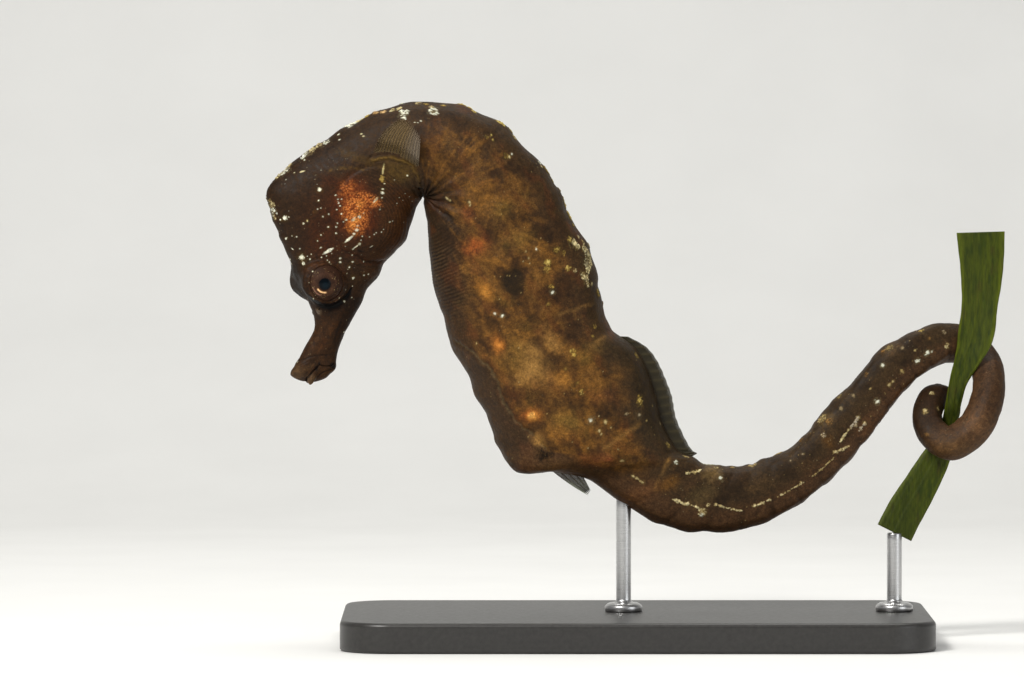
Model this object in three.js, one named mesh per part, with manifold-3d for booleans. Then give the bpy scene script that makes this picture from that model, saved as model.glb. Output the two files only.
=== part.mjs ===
// Knysna seahorse (Hippocampus capensis), adult female, as a life-size display model in millimetres.
// The animal faces -X with its left side towards -Y, its head bowed and its tail wound once and a half round a cut
// length of seagrass blade. A flat base with two short rods carries it. +Z is up, and the origin is the
// middle of the base's underside.
import * as THREE from "three";
import { mergeVertices } from "three/addons/utils/BufferGeometryUtils.js";
import Module from "manifold-3d";

const wasm = await Module();
wasm.setup();

// ---------------------------------------------------------------- driving dimensions, mm
const CUT = 0.12; // half of the thin cut between two lengths of the body
const AROUND = 20; // corners of a body section
const EYE_R = 1.68; // eyeball, across
const EYE_DEEP = 1.42; // eyeball, half its depth from side to side
const EYE_UP = 1.15; // eye centre above the head's midline, towards the crown
const EYE_SIDE = 1.72; // eye centre from the median plane
const SOCKET_GAP = 0.14;
const RIM_R = 1.95; // fleshy rim round the eye, across
const RIM_DEEP = 1.2; // and half its depth
const FIN_T = 0.5; // fins in the solids
const BASE_LEN = 47,
  BASE_DEPTH = 27,
  BASE_T = 2.4,
  BASE_CORNER = 4,
  BASE_BEVEL = 0.35;
const ROD_R = 0.6,
  FLANGE_R = 1.5,
  FLANGE_T = 0.7;
const ROD_GAP = 0.25;

// Stations of the body in the median plane, from mouth to tail. Each names the dorsal point [x, z], the ventral
// point [x, z], the half width, how pear-shaped (k1 > 0 is wider dorsally) and how boxy (k2) the section is, the
// lean of its dorsal side towards the left in degrees, and its offset along Y.
const STATIONS = [
  ["mouth_tip", [-27.2, 20.96], [-25.68, 20.72], 0.3, 0, 0.2, 22, 0],
  ["lips", [-27.64, 21.6], [-24.88, 21.28], 0.72, 0, 0.3, 22, 0],
  ["mouth_flare", [-27.63, 22.14], [-24.49, 22], 0.92, 0, 0.3, 22, 0],
  ["snout_front", [-27.09, 23.19], [-24.25, 23], 0.92, 0, 0.15, 22, 0],
  ["snout_mid", [-26.37, 24.46], [-23.71, 24.36], 0.98, 0, 0.12, 21, 0],
  ["snout_base", [-26.1, 25.92], [-23, 25.71], 1.16, 0.05, 0.12, 21, 0],
  ["orbit_front", [-26.72, 27.3], [-22.19, 27.11], 1.45, 0.08, 0.12, 21, 0],
  ["orbit", [-28.02, 28.96], [-21.6, 28.36], 1.85, 0.05, 0.15, 21, 0],
  ["brow", [-28.51, 30.99], [-20.36, 29.97], 2.15, -0.1, 0.1, 20, 0],
  ["forehead", [-29.26, 33.11], [-19.03, 31.28], 2.5, -0.2, 0.05, 18, 0],
  ["crown", [-30.01, 35.84], [-18.13, 33.36], 2.8, -0.25, 0.02, 15, 0],
  ["occiput", [-28.53, 37.94], [-17.77, 34.8], 2.9, -0.2, 0.02, 12, 0],
  ["nape_front", [-24.87, 40.35], [-17.51, 35.35], 2.9, -0.12, 0.05, 8, 0],
  ["nape", [-21.46, 42.2], [-17.4, 35.6], 2.8, -0.05, 0.08, 4, 0],
  ["neck", [-18.4, 43.12], [-17.28, 35.64], 2.8, 0, 0.1, 1, 0],
  ["shoulder", [-15.2, 43.06], [-17.31, 35.1], 3.0, 0.03, 0.12, 0, 0],
  ["trunk_1", [-11.62, 41.82], [-17.15, 34.2], 3.3, 0.05, 0.15, 0, 0],
  ["trunk_2", [-8.36, 38.81], [-16.95, 32.4], 3.7, 0.07, 0.18, 0, 0],
  ["trunk_3", [-5.61, 34.34], [-16.65, 29.67], 4.0, 0.08, 0.2, 0, 0],
  ["trunk_4", [-3.61, 30.1], [-16.02, 26.75], 4.15, 0.1, 0.2, 0, 0],
  ["trunk_5", [-2.4, 25.25], [-14.8, 22.92], 4.2, 0.12, 0.2, 0, 0],
  ["fin_front", [-0.2, 23.3], [-13.21, 20.05], 4.15, 0.14, 0.2, 0, 0],
  ["trunk_6", [1.2, 19.8], [-11.67, 16.39], 3.9, 0.14, 0.2, 0, 0],
  ["belly_end", [1.95, 17.12], [-9.67, 13.54], 3.5, 0.12, 0.2, 0, 0],
  ["vent", [3.09, 15.26], [-6.99, 13.53], 3.0, 0.1, 0.22, 0, 0.05],
  ["tail_root", [4.23, 14.82], [-4.41, 13.1], 2.6, 0.06, 0.25, 0, 0.1],
  ["tail_1", [5.17, 14.19], [-1.46, 11.15], 2.35, 0.03, 0.28, 0, 0.15],
  ["tail_2", [6.59, 14.1], [1.93, 9.31], 2.2, 0, 0.3, 0, 0.25],
  ["tail_3", [8.39, 14.08], [6.57, 8.75], 2.1, 0, 0.3, 0, 0.35],
  ["tail_4", [11.55, 15.23], [12.48, 10.76], 2.0, 0, 0.3, 0, 0.55],
  ["tail_5", [15.58, 19.21], [18.03, 15.71], 1.85, 0, 0.3, 0, 0.85],
  ["tail_6", [20.03, 23.81], [21.81, 20.58], 1.7, 0, 0.3, 0, 1.25],
  ["tail_7", [22.43, 25.05], [23.35, 21.77], 1.62, 0, 0.3, 0, 1.5],
];

// The tail's turn and a half round the blade: centre [x, y, z] and radius. Its ventral side faces the blade.
const COIL_CENTRE = [25.44, 0.1, 19.52];
const COIL = [
  [[24.64, 2.0, 23.84], 1.56],
  [[26.4, 2.36, 23.5], 1.44],
  [[27.5, 1.5, 22.5], 1.34],
  [[27.9, -0.3, 21.0], 1.26],
  [[27.6, -1.6, 19.2], 1.28],
  [[26.44, -2.2, 17.05], 1.33],
  [[24.6, -1.98, 16.0], 1.33],
  [[23.22, -1.0, 17.0], 1.23],
  [[23.12, 0.46, 18.7], 1.13],
  [[23.86, 1.44, 19.62], 1.04],
  [[24.55, 2.0, 19.5], 0.84],
  [[25.15, 2.15, 18.75], 0.66],
  [[25.2, 2.0, 17.8], 0.46],
  [[24.95, 1.85, 16.95], 0.22],
];

// The cut length of seagrass blade: centre [x, y, z], half width, half thickness and twist in degrees (its right edge
// forwards), from the top cut to the lower.
const BLADE = [
  [[27.2, -0.5, 32.8], 1.92, 0.3, 8],
  [[27.3, -0.45, 30.0], 1.75, 0.31, 12],
  [[27.16, -0.42, 27.2], 1.5, 0.32, 18],
  [[26.74, -0.46, 24.2], 1.48, 0.32, 25],
  [[26.12, -0.36, 22.5], 1.1, 0.33, 27],
  [[25.52, -0.1, 21.0], 0.76, 0.34, 22],
  [[25.12, 0.18, 19.2], 0.65, 0.34, 10],
  [[24.84, 0.5, 17.6], 0.66, 0.34, 0],
  [[24.3, 0.66, 15.9], 0.95, 0.34, 0],
  [[22.7, 0.6, 12.8], 1.35, 0.34, 0],
  [[21.0, 0.45, 9.9], 1.5, 0.34, 0],
  [[20.4, 0.35, 8.7], 1.52, 0.34, 0],
];

// Where each length of the body starts, as a station name.
const LENGTHS = [
  ["snout", "mouth_tip", "orbit_front"],
  ["head", "orbit_front", "nape_front"],
  ["neck", "nape_front", "trunk_1"],
  ["trunk_front", "trunk_1", "trunk_4"],
  ["trunk_rear", "trunk_4", "vent"],
  ["tail_base", "vent", "tail_3"],
  ["tail_middle", "tail_3", "tail_5"],
  ["tail_rear", "tail_5", "coil_0"],
  ["tail_coil", "coil_0", "coil_5"],
  ["tail_end", "coil_5", "coil_13"],
];
const STEPS = {
  snout: 15,
  head: 22,
  neck: 14,
  trunk_front: 12,
  trunk_rear: 14,
  tail_base: 12,
  tail_middle: 8,
  tail_rear: 9,
  tail_coil: 18,
  tail_end: 26,
};

// ---------------------------------------------------------------- small vector helpers
const V = (x, y, z) => new THREE.Vector3(x, y, z);
const rad = (d) => (d * Math.PI) / 180;

// Cubic through values at knots, its slopes from the neighbours on each side.
function curve(knots, rows) {
  const n = knots.length,
    dims = rows[0].length;
  const slope = rows.map((r, i) =>
    r.map((_, k) => {
      const a = Math.max(0, i - 1),
        b = Math.min(n - 1, i + 1);
      if (a === i || b === i) return (rows[b][k] - rows[a][k]) / (knots[b] - knots[a]);
      const h0 = knots[i] - knots[a],
        h1 = knots[b] - knots[i];
      const d0 = (rows[i][k] - rows[a][k]) / h0,
        d1 = (rows[b][k] - rows[i][k]) / h1;
      return (d0 * h1 + d1 * h0) / (h0 + h1);
    }),
  );
  return (s) => {
    let i = 0;
    while (i < n - 2 && s > knots[i + 1]) i++;
    const h = knots[i + 1] - knots[i],
      t = Math.min(1, Math.max(0, (s - knots[i]) / h));
    const t2 = t * t,
      t3 = t2 * t;
    const out = [];
    for (let k = 0; k < dims; k++)
      out.push(
        (2 * t3 - 3 * t2 + 1) * rows[i][k] +
          (t3 - 2 * t2 + t) * h * slope[i][k] +
          (-2 * t3 + 3 * t2) * rows[i + 1][k] +
          (t3 - t2) * h * slope[i + 1][k],
      );
    return out;
  };
}

// ---------------------------------------------------------------- the body as one run of sections
const names = [],
  centres = [],
  ventral = [],
  left = [],
  sizes = [];
for (const [name, d, v, w, k1, k2, roll, y] of STATIONS) {
  const D = V(d[0], y, d[1]),
    E = V(v[0], y, v[1]);
  const down = E.clone().sub(D),
    half = down.length() / 2;
  down.normalize();
  const side = V(0, -1, 0);
  const a = rad(roll);
  names.push(name);
  centres.push(D.add(E).multiplyScalar(0.5));
  ventral.push(down.clone().multiplyScalar(Math.cos(a)).addScaledVector(side, -Math.sin(a)));
  left.push(side.clone().multiplyScalar(Math.cos(a)).addScaledVector(down, Math.sin(a)));
  sizes.push([half, w, k1, k2]);
}
COIL.forEach(([c, r], i) => {
  const here = V(...c),
    prev = i ? V(...COIL[i - 1][0]) : centres[centres.length - 1],
    next = i < COIL.length - 1 ? V(...COIL[i + 1][0]) : here.clone().multiplyScalar(2).sub(prev);
  const along = next.clone().sub(prev).normalize();
  const inward = V(...COIL_CENTRE).sub(here);
  inward.addScaledVector(along, -inward.dot(along)).normalize();
  names.push("coil_" + i);
  centres.push(here);
  ventral.push(inward);
  left.push(inward.clone().cross(along));
  sizes.push([r, r * 0.96, 0, 0.22]);
});
const knots = [0];
for (let i = 1; i < centres.length; i++)
  knots.push(knots[i - 1] + centres[i].distanceTo(centres[i - 1]));
const body = curve(
  knots,
  centres.map((c, i) => [...c.toArray(), ...ventral[i].toArray(), ...left[i].toArray(), ...sizes[i]]),
);
const at = (name) => knots[names.indexOf(name)];

// The section at distance s: its centre, its ventral and left directions and its sizes.
function section(s) {
  const r = body(s);
  const down = V(r[3], r[4], r[5]).normalize();
  const side = V(r[6], r[7], r[8]);
  side.addScaledVector(down, -side.dot(down)).normalize();
  return { c: V(r[0], r[1], r[2]), down, side, half: r[9], w: r[10], k1: r[11], k2: r[12] };
}
// A point of the skin: angle 0 is dorsal, 90 degrees is the left side.
function skin(s, angle) {
  const q = section(s),
    u = Math.cos(angle);
  return q.c
    .clone()
    .addScaledVector(q.down, -q.half * u)
    .addScaledVector(q.side, q.w * Math.sin(angle) * (1 + q.k1 * u + q.k2 * u * u));
}
// A point in a section's own directions: up is towards the dorsal side, side is towards the left.
function inSection(s, up, side) {
  const q = section(s);
  return q.c.clone().addScaledVector(q.down, -up).addScaledVector(q.side, side);
}

// ---------------------------------------------------------------- closed meshes
function geometry(points, faces) {
  const g = new THREE.BufferGeometry();
  g.setAttribute("position", new THREE.BufferAttribute(new Float32Array(points.flatMap((p) => [p.x, p.y, p.z])), 3));
  g.setIndex(faces.flat());
  let six = 0;
  for (const [a, b, c] of faces) six += points[a].dot(points[b].clone().cross(points[c]));
  if (six < 0) g.setIndex(faces.flatMap(([a, b, c]) => [a, c, b]));
  g.computeVertexNormals();
  return g;
}
// A tube through rings of equal count, closed at both ends.
function tube(rings) {
  const m = rings[0].length,
    points = rings.flat(),
    faces = [];
  for (let i = 0; i < rings.length - 1; i++)
    for (let j = 0; j < m; j++) {
      const a = i * m + j,
        b = i * m + ((j + 1) % m),
        c = a + m,
        d = b + m;
      faces.push([a, c, b], [b, c, d]);
    }
  for (const end of [0, rings.length - 1]) {
    const mid = new THREE.Vector3();
    rings[end].forEach((p) => mid.add(p));
    points.push(mid.multiplyScalar(1 / m));
    const k = points.length - 1;
    for (let j = 0; j < m; j++) {
      const a = end * m + j,
        b = end * m + ((j + 1) % m);
      faces.push(end ? [a, k, b] : [b, k, a]);
    }
  }
  return geometry(points, faces);
}
// A plate of constant thickness over a grid of points, rows by columns.
function plate(grid, thickness) {
  const R = grid.length,
    C = grid[0].length,
    up = [],
    low = [];
  for (let i = 0; i < R; i++)
    for (let j = 0; j < C; j++) {
      const du = grid[Math.min(R - 1, i + 1)][j].clone().sub(grid[Math.max(0, i - 1)][j]);
      const dv = grid[i][Math.min(C - 1, j + 1)].clone().sub(grid[i][Math.max(0, j - 1)]);
      const n = du.cross(dv).normalize().multiplyScalar(thickness / 2);
      up.push(grid[i][j].clone().add(n));
      low.push(grid[i][j].clone().sub(n));
    }
  const N = R * C,
    faces = [];
  for (let i = 0; i < R - 1; i++)
    for (let j = 0; j < C - 1; j++) {
      const a = i * C + j,
        b = a + 1,
        c = a + C,
        d = c + 1;
      faces.push([a, c, b], [b, c, d], [N + a, N + b, N + c], [N + b, N + d, N + c]);
    }
  const rim = [];
  for (let j = 0; j < C; j++) rim.push(j);
  for (let i = 1; i < R; i++) rim.push(i * C + C - 1);
  for (let j = C - 2; j >= 0; j--) rim.push((R - 1) * C + j);
  for (let i = R - 2; i > 0; i--) rim.push(i * C);
  rim.forEach((a, k) => {
    const b = rim[(k + 1) % rim.length];
    faces.push([a, b, N + a], [b, N + b, N + a]);
  });
  return geometry([...up, ...low], faces);
}
function toSolid(g) {
  const bare = g.clone();
  bare.deleteAttribute("normal");
  if (bare.attributes.uv) bare.deleteAttribute("uv");
  const m = mergeVertices(bare, 1e-4);
  return new wasm.Manifold(
    new wasm.Mesh({
      numProp: 3,
      vertProperties: new Float32Array(m.attributes.position.array),
      triVerts: new Uint32Array(m.index.array),
    }),
  );
}
function fromSolid(s) {
  const m = s.getMesh(),
    n = m.numProp,
    v = new Float32Array(m.numVert * 3);
  for (let i = 0; i < m.numVert; i++) v.set(m.vertProperties.subarray(i * n, i * n + 3), i * 3);
  const g = new THREE.BufferGeometry();
  g.setAttribute("position", new THREE.BufferAttribute(v, 3));
  g.setIndex(new THREE.BufferAttribute(new Uint32Array(m.triVerts), 1));
  g.computeVertexNormals();
  return g;
}

// ---------------------------------------------------------------- materials
const finish = (color, roughness, metalness = 0) => new THREE.MeshStandardMaterial({ color, roughness, metalness });
const SKIN = finish(0x4a3227, 0.55);
const EYE = finish(0x3a2218, 0.25);
const FIN = finish(0x8a7f6c, 0.45);
const LEAF = finish(0x5b7a1c, 0.5);
const STAND = finish(0x2a2826, 0.45);
const ROD = finish(0xb9bbbd, 0.3, 1);

const group = new THREE.Group();
const add = (name, g, material) => {
  const mesh = new THREE.Mesh(g, material);
  mesh.name = name;
  group.add(mesh);
  return mesh;
};

// ---------------------------------------------------------------- eyes
const EYE_S = at("orbit") + 0.02;
const eyeCentre = (sign) => inSection(EYE_S, EYE_UP, sign * EYE_SIDE);
// A flattened ball at an eye's centre, its pole pointing sideways: the eyeball, its socket or its rim.
function ball(sign, radius, deep, across, up) {
  const g = new THREE.SphereGeometry(1, across, up);
  g.scale(radius, deep, radius);
  const side = section(EYE_S).side;
  g.applyQuaternion(new THREE.Quaternion().setFromUnitVectors(V(0, 1, 0), side));
  const c = eyeCentre(sign);
  g.translate(c.x, c.y, c.z);
  return g;
}

// ---------------------------------------------------------------- body lengths
for (const [name, from, to] of LENGTHS) {
  const a = at(from) + (from === "mouth_tip" ? 0 : CUT),
    b = at(to) - (to === "coil_13" ? 0 : CUT);
  const n = STEPS[name],
    around = name.startsWith("tail") ? 14 : AROUND;
  const rings = [];
  for (let i = 0; i <= n; i++) {
    const s = a + ((b - a) * i) / n;
    rings.push(Array.from({ length: around }, (_, j) => skin(s, (2 * Math.PI * j) / around)));
  }
  const g = tube(rings);
  if (name === "head" || name === "snout") {
    let s = toSolid(g);
    // the rims, each cut where the snout meets the head, then the sockets
    const cutAt = section(at("orbit_front")),
      along = cutAt.down.clone().cross(cutAt.side).normalize();
    if (along.dot(section(at("orbit")).c.clone().sub(cutAt.c)) < 0) along.negate();
    const keep = new THREE.BoxGeometry(12, 12, 12);
    keep.applyQuaternion(new THREE.Quaternion().setFromUnitVectors(V(0, 0, 1), along));
    const way = name === "head" ? 1 : -1;
    keep.translate(...cutAt.c.clone().addScaledVector(along, way * (6 + CUT)).toArray());
    for (const sign of [1, -1]) s = s.add(toSolid(ball(sign, RIM_R, RIM_DEEP, 20, 8)).intersect(toSolid(keep)));
    for (const sign of [1, -1])
      s = s.subtract(toSolid(ball(sign, EYE_R + SOCKET_GAP, EYE_DEEP + SOCKET_GAP, 16, 8)));
    if (name === "head") s = s.decompose().sort((x, y) => y.volume() - x.volume())[0];
    if (name === "snout") {
      // the gape: the lower jaw is parted from the snout by a thin slanting cut
      const tip = at("mouth_tip"),
        corner = inSection(at("snout_front") - 0.35, -0.55, 0),
        front = inSection(tip, 0.1, 0).add(V(0, 0, -1));
      const along = front.clone().sub(corner),
        side = section(tip).side;
      const upward = side.clone().cross(along).normalize();
      if (upward.dot(section(tip).down) > 0) upward.negate();
      const wedge = (offset, depth, back) => {
        const p = [];
        for (const l of [-3, 3])
          for (const q of [0, 1])
            for (const h of [0, 1])
              p.push(
                corner
                  .clone()
                  .addScaledVector(side, l)
                  .addScaledVector(along, q ? 2 : -back)
                  .addScaledVector(upward, h ? offset : offset - depth),
              );
        const f = [
          [0, 1, 2], [1, 3, 2], [4, 6, 5], [5, 6, 7], [0, 4, 1], [1, 4, 5],
          [2, 3, 6], [3, 7, 6], [0, 2, 4], [2, 6, 4], [1, 5, 3], [3, 5, 7],
        ];
        return toSolid(geometry(p, f));
      };
      const jaw = s.intersect(wedge(-0.06, 4, 0));
      s = s.subtract(wedge(0.06, 4.2, 0.04));
      const largest = (m) => m.decompose().sort((x, y) => y.volume() - x.volume())[0];
      add("lower_jaw", fromSolid(largest(jaw)), SKIN);
      s = largest(s);
    }
    add(name, fromSolid(s), SKIN);
  } else add(name, g, SKIN);
}
add("eye_left", ball(1, EYE_R, EYE_DEEP, 18, 10), EYE);
add("eye_right", ball(-1, EYE_R, EYE_DEEP, 18, 10), EYE);

// ---------------------------------------------------------------- fins
// Pectoral fins: fans that rise from the rear edge of the gill cover, their rays drawn together at the top.
// Corners as [x, z]: the base's front and rear end, the tips' front and rear end.
const PECTORAL = {
  base: [[-21.28, 39.08], [-17.68, 37.88]],
  tips: [[-19.25, 41.78], [-17.5, 40.25]],
  baseArch: 0.45,
  tipArch: 0.5,
  off: 0.62,
  flare: 0.75,
};
// How far the skin reaches sideways at [x, z] on one side.
function sideReach(x, z, sign) {
  let best = Infinity,
    reach = 0;
  for (let s = at("crown"); s < at("trunk_1"); s += 0.12)
    for (let a = 6; a <= 174; a += 3) {
      const p = skin(s, rad(sign * a)),
        d = Math.hypot(p.x - x, p.z - z);
      if (d < best) {
        best = d;
        reach = Math.abs(p.y);
      }
    }
  return reach;
}
for (const [name, sign] of [
  ["pectoral_fin_left", 1],
  ["pectoral_fin_right", -1],
]) {
  const p = PECTORAL,
    grid = [];
  const mix = (a, b, r) => a + (b - a) * r;
  for (let i = 0; i <= 6; i++) {
    const q = i / 6,
      row = [];
    for (let j = 0; j <= 8; j++) {
      const r = j / 8,
        arch = Math.sin(Math.PI * r);
      const x = mix(mix(p.base[0][0], p.base[1][0], r), mix(p.tips[0][0], p.tips[1][0], r), q);
      const z =
        mix(mix(p.base[0][1], p.base[1][1], r) + p.baseArch * arch, mix(p.tips[0][1], p.tips[1][1], r) + p.tipArch * arch, q);
      const lean = (1 - r) * Math.sin(Math.PI * q) * 0.28;
      row.push([x - lean, z + lean]);
    }
    grid.push(row);
  }
  const base = Math.max(...grid[0].map(([x, z]) => sideReach(x, z, sign)));
  add(
    name,
    plate(
      grid.map((row, i) => row.map(([x, z]) => V(x, -sign * (base + p.off - 0.2 + p.flare * Math.sin((i / 6) * (Math.PI / 2))), z))),
      FIN_T,
    ),
    FIN,
  );
}
// Dorsal fin: a low fan along the rear of the back.
const DORSAL = { from: at("trunk_5") + 1.1, to: at("tail_root") + 0.1, height: 1.05, gap: 0.18, sweep: 0.7 };
{
  const grid = [];
  for (let i = 0; i <= 3; i++) {
    const q = i / 3,
      row = [];
    for (let j = 0; j <= 16; j++) {
      const r = j / 16,
        s = DORSAL.from + (DORSAL.to - DORSAL.from) * r;
      const tall = DORSAL.height * (0.18 + 0.82 * Math.pow(Math.sin(Math.PI * Math.min(1, 0.06 + 0.9 * r)), 0.55));
      row.push(inSection(s + DORSAL.sweep * q * 0.4, section(s).half + DORSAL.gap + tall * q, 0));
    }
    grid.push(row);
  }
  add("dorsal_fin", plate(grid, FIN_T), FIN);
}
// Anal fin: small, behind the vent, trailing towards the tail.
const ANAL = { from: [-6.9, 13.24], to: [-5.35, 13.18], tipFrom: [-4.2, 11.55], tipTo: [-3.55, 12.15] };
{
  const grid = [];
  for (let i = 0; i <= 4; i++) {
    const q = i / 4,
      row = [];
    for (let j = 0; j <= 4; j++) {
      const r = j / 4,
        mix = (k) =>
          (ANAL.from[k] + (ANAL.to[k] - ANAL.from[k]) * r) * (1 - q) +
          (ANAL.tipFrom[k] + (ANAL.tipTo[k] - ANAL.tipFrom[k]) * r) * q;
      row.push(V(mix(0), 0.05, mix(1)));
    }
    grid.push(row);
  }
  add("anal_fin", plate(grid, FIN_T), FIN);
}

// ---------------------------------------------------------------- perch and stand
{
  const run = [0];
  for (let i = 1; i < BLADE.length; i++) run.push(run[i - 1] + V(...BLADE[i][0]).distanceTo(V(...BLADE[i - 1][0])));
  const path = curve(run, BLADE.map(([c, w, t, a]) => [...c, w, t, a]));
  const n = 26,
    m = 12,
    total = run[run.length - 1],
    rings = [];
  for (let i = 0; i <= n; i++) {
    const s = (total * i) / n,
      p = path(s),
      e = 0.01,
      q0 = path(Math.max(0, s - e)),
      q1 = path(Math.min(total, s + e));
    const along = V(q1[0] - q0[0], q1[1] - q0[1], q1[2] - q0[2]).normalize();
    const back = V(0, 1, 0).addScaledVector(along, -along.y).normalize();
    const right = along.clone().cross(back);
    const flat = back.clone().multiplyScalar(Math.cos(rad(p[5]))).addScaledVector(right, Math.sin(rad(p[5])));
    const wide = along.clone().cross(flat);
    rings.push(
      Array.from({ length: m }, (_, j) => {
        const a = (2 * Math.PI * j) / m;
        return V(p[0], p[1], p[2])
          .addScaledVector(wide, p[3] * Math.cos(a))
          .addScaledVector(flat, p[4] * Math.sin(a));
      }),
    );
  }
  add("perch_blade", tube(rings), LEAF);
}
// The base's middle is the middle of the whole model.
const box = new THREE.Box3().setFromObject(group);
const midX = (box.min.x + box.max.x) / 2;
{
  const w = BASE_LEN / 2 - BASE_BEVEL,
    d = BASE_DEPTH / 2 - BASE_BEVEL,
    r = BASE_CORNER;
  const shape = new THREE.Shape();
  shape.moveTo(-w + r, -d);
  shape.lineTo(w - r, -d);
  shape.absarc(w - r, -d + r, r, -Math.PI / 2, 0);
  shape.lineTo(w, d - r);
  shape.absarc(w - r, d - r, r, 0, Math.PI / 2);
  shape.lineTo(-w + r, d);
  shape.absarc(-w + r, d - r, r, Math.PI / 2, Math.PI);
  shape.lineTo(-w, -d + r);
  shape.absarc(-w + r, -d + r, r, Math.PI, 1.5 * Math.PI);
  const g = new THREE.ExtrudeGeometry(shape, {
    depth: BASE_T - 2 * BASE_BEVEL,
    bevelEnabled: true,
    bevelThickness: BASE_BEVEL,
    bevelSize: BASE_BEVEL,
    bevelSegments: 1,
    curveSegments: 5,
  });
  g.translate(midX, 0, BASE_BEVEL);
  add("stand_base", g, STAND);
}
// Each rod stands on the base with a small flange and ends just under what it carries.
function rod(name, x, y, top) {
  const z0 = BASE_T + 0.02;
  const profile = [
    [0, z0],
    [FLANGE_R, z0],
    [FLANGE_R, z0 + FLANGE_T * 0.6],
    [FLANGE_R * 0.75, z0 + FLANGE_T],
    [ROD_R, z0 + FLANGE_T * 1.25],
    [ROD_R, top],
    [0, top],
  ].map((p) => new THREE.Vector2(...p));
  const g = new THREE.LatheGeometry(profile, 16);
  g.rotateX(Math.PI / 2);
  g.translate(x, y, 0);
  add(name, g, ROD);
}
// Height of the underside of the body straight above a point.
function undersideAt(x, y, from, to) {
  let best = Infinity;
  for (let s = from; s < to; s += 0.05)
    for (let a = 100; a <= 260; a += 2) {
      const p = skin(s, rad(a));
      if (Math.hypot(p.x - x, p.y - y) < ROD_R + 0.12) best = Math.min(best, p.z);
    }
  return best;
}
const BODY_ROD_X = -1.3;
rod("stand_rod_body", BODY_ROD_X, 0.12, undersideAt(BODY_ROD_X, 0.12, at("vent"), at("tail_2")) - ROD_GAP);
rod("stand_rod_perch", 20.4, 0.35, 8.7 - ROD_GAP - 0.25);

group.children.forEach((m) => m.geometry.translate(-midX, 0, 0));
export default group;
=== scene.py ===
# Looks of the Knysna seahorse model: one skin over the body, eyes, fins, the seagrass blade and the display stand.
# Lengths in the tables are millimetres; the meshes are made in metres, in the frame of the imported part.
import math

import bpy
import numpy as np
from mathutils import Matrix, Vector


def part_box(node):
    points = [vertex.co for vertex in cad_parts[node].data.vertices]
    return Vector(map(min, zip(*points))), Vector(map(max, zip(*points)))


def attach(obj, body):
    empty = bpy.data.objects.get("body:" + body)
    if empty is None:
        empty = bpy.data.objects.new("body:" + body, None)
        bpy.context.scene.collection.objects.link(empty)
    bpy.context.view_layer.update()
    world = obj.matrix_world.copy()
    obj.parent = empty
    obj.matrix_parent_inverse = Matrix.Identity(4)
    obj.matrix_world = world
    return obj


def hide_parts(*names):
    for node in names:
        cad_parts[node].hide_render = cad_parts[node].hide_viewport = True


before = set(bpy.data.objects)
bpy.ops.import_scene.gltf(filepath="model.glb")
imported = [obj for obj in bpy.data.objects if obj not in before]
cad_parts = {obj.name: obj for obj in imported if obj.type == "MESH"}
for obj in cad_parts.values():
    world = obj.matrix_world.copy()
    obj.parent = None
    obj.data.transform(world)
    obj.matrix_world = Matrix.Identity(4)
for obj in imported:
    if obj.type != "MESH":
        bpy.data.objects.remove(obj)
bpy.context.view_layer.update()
MM = 0.001

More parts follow.
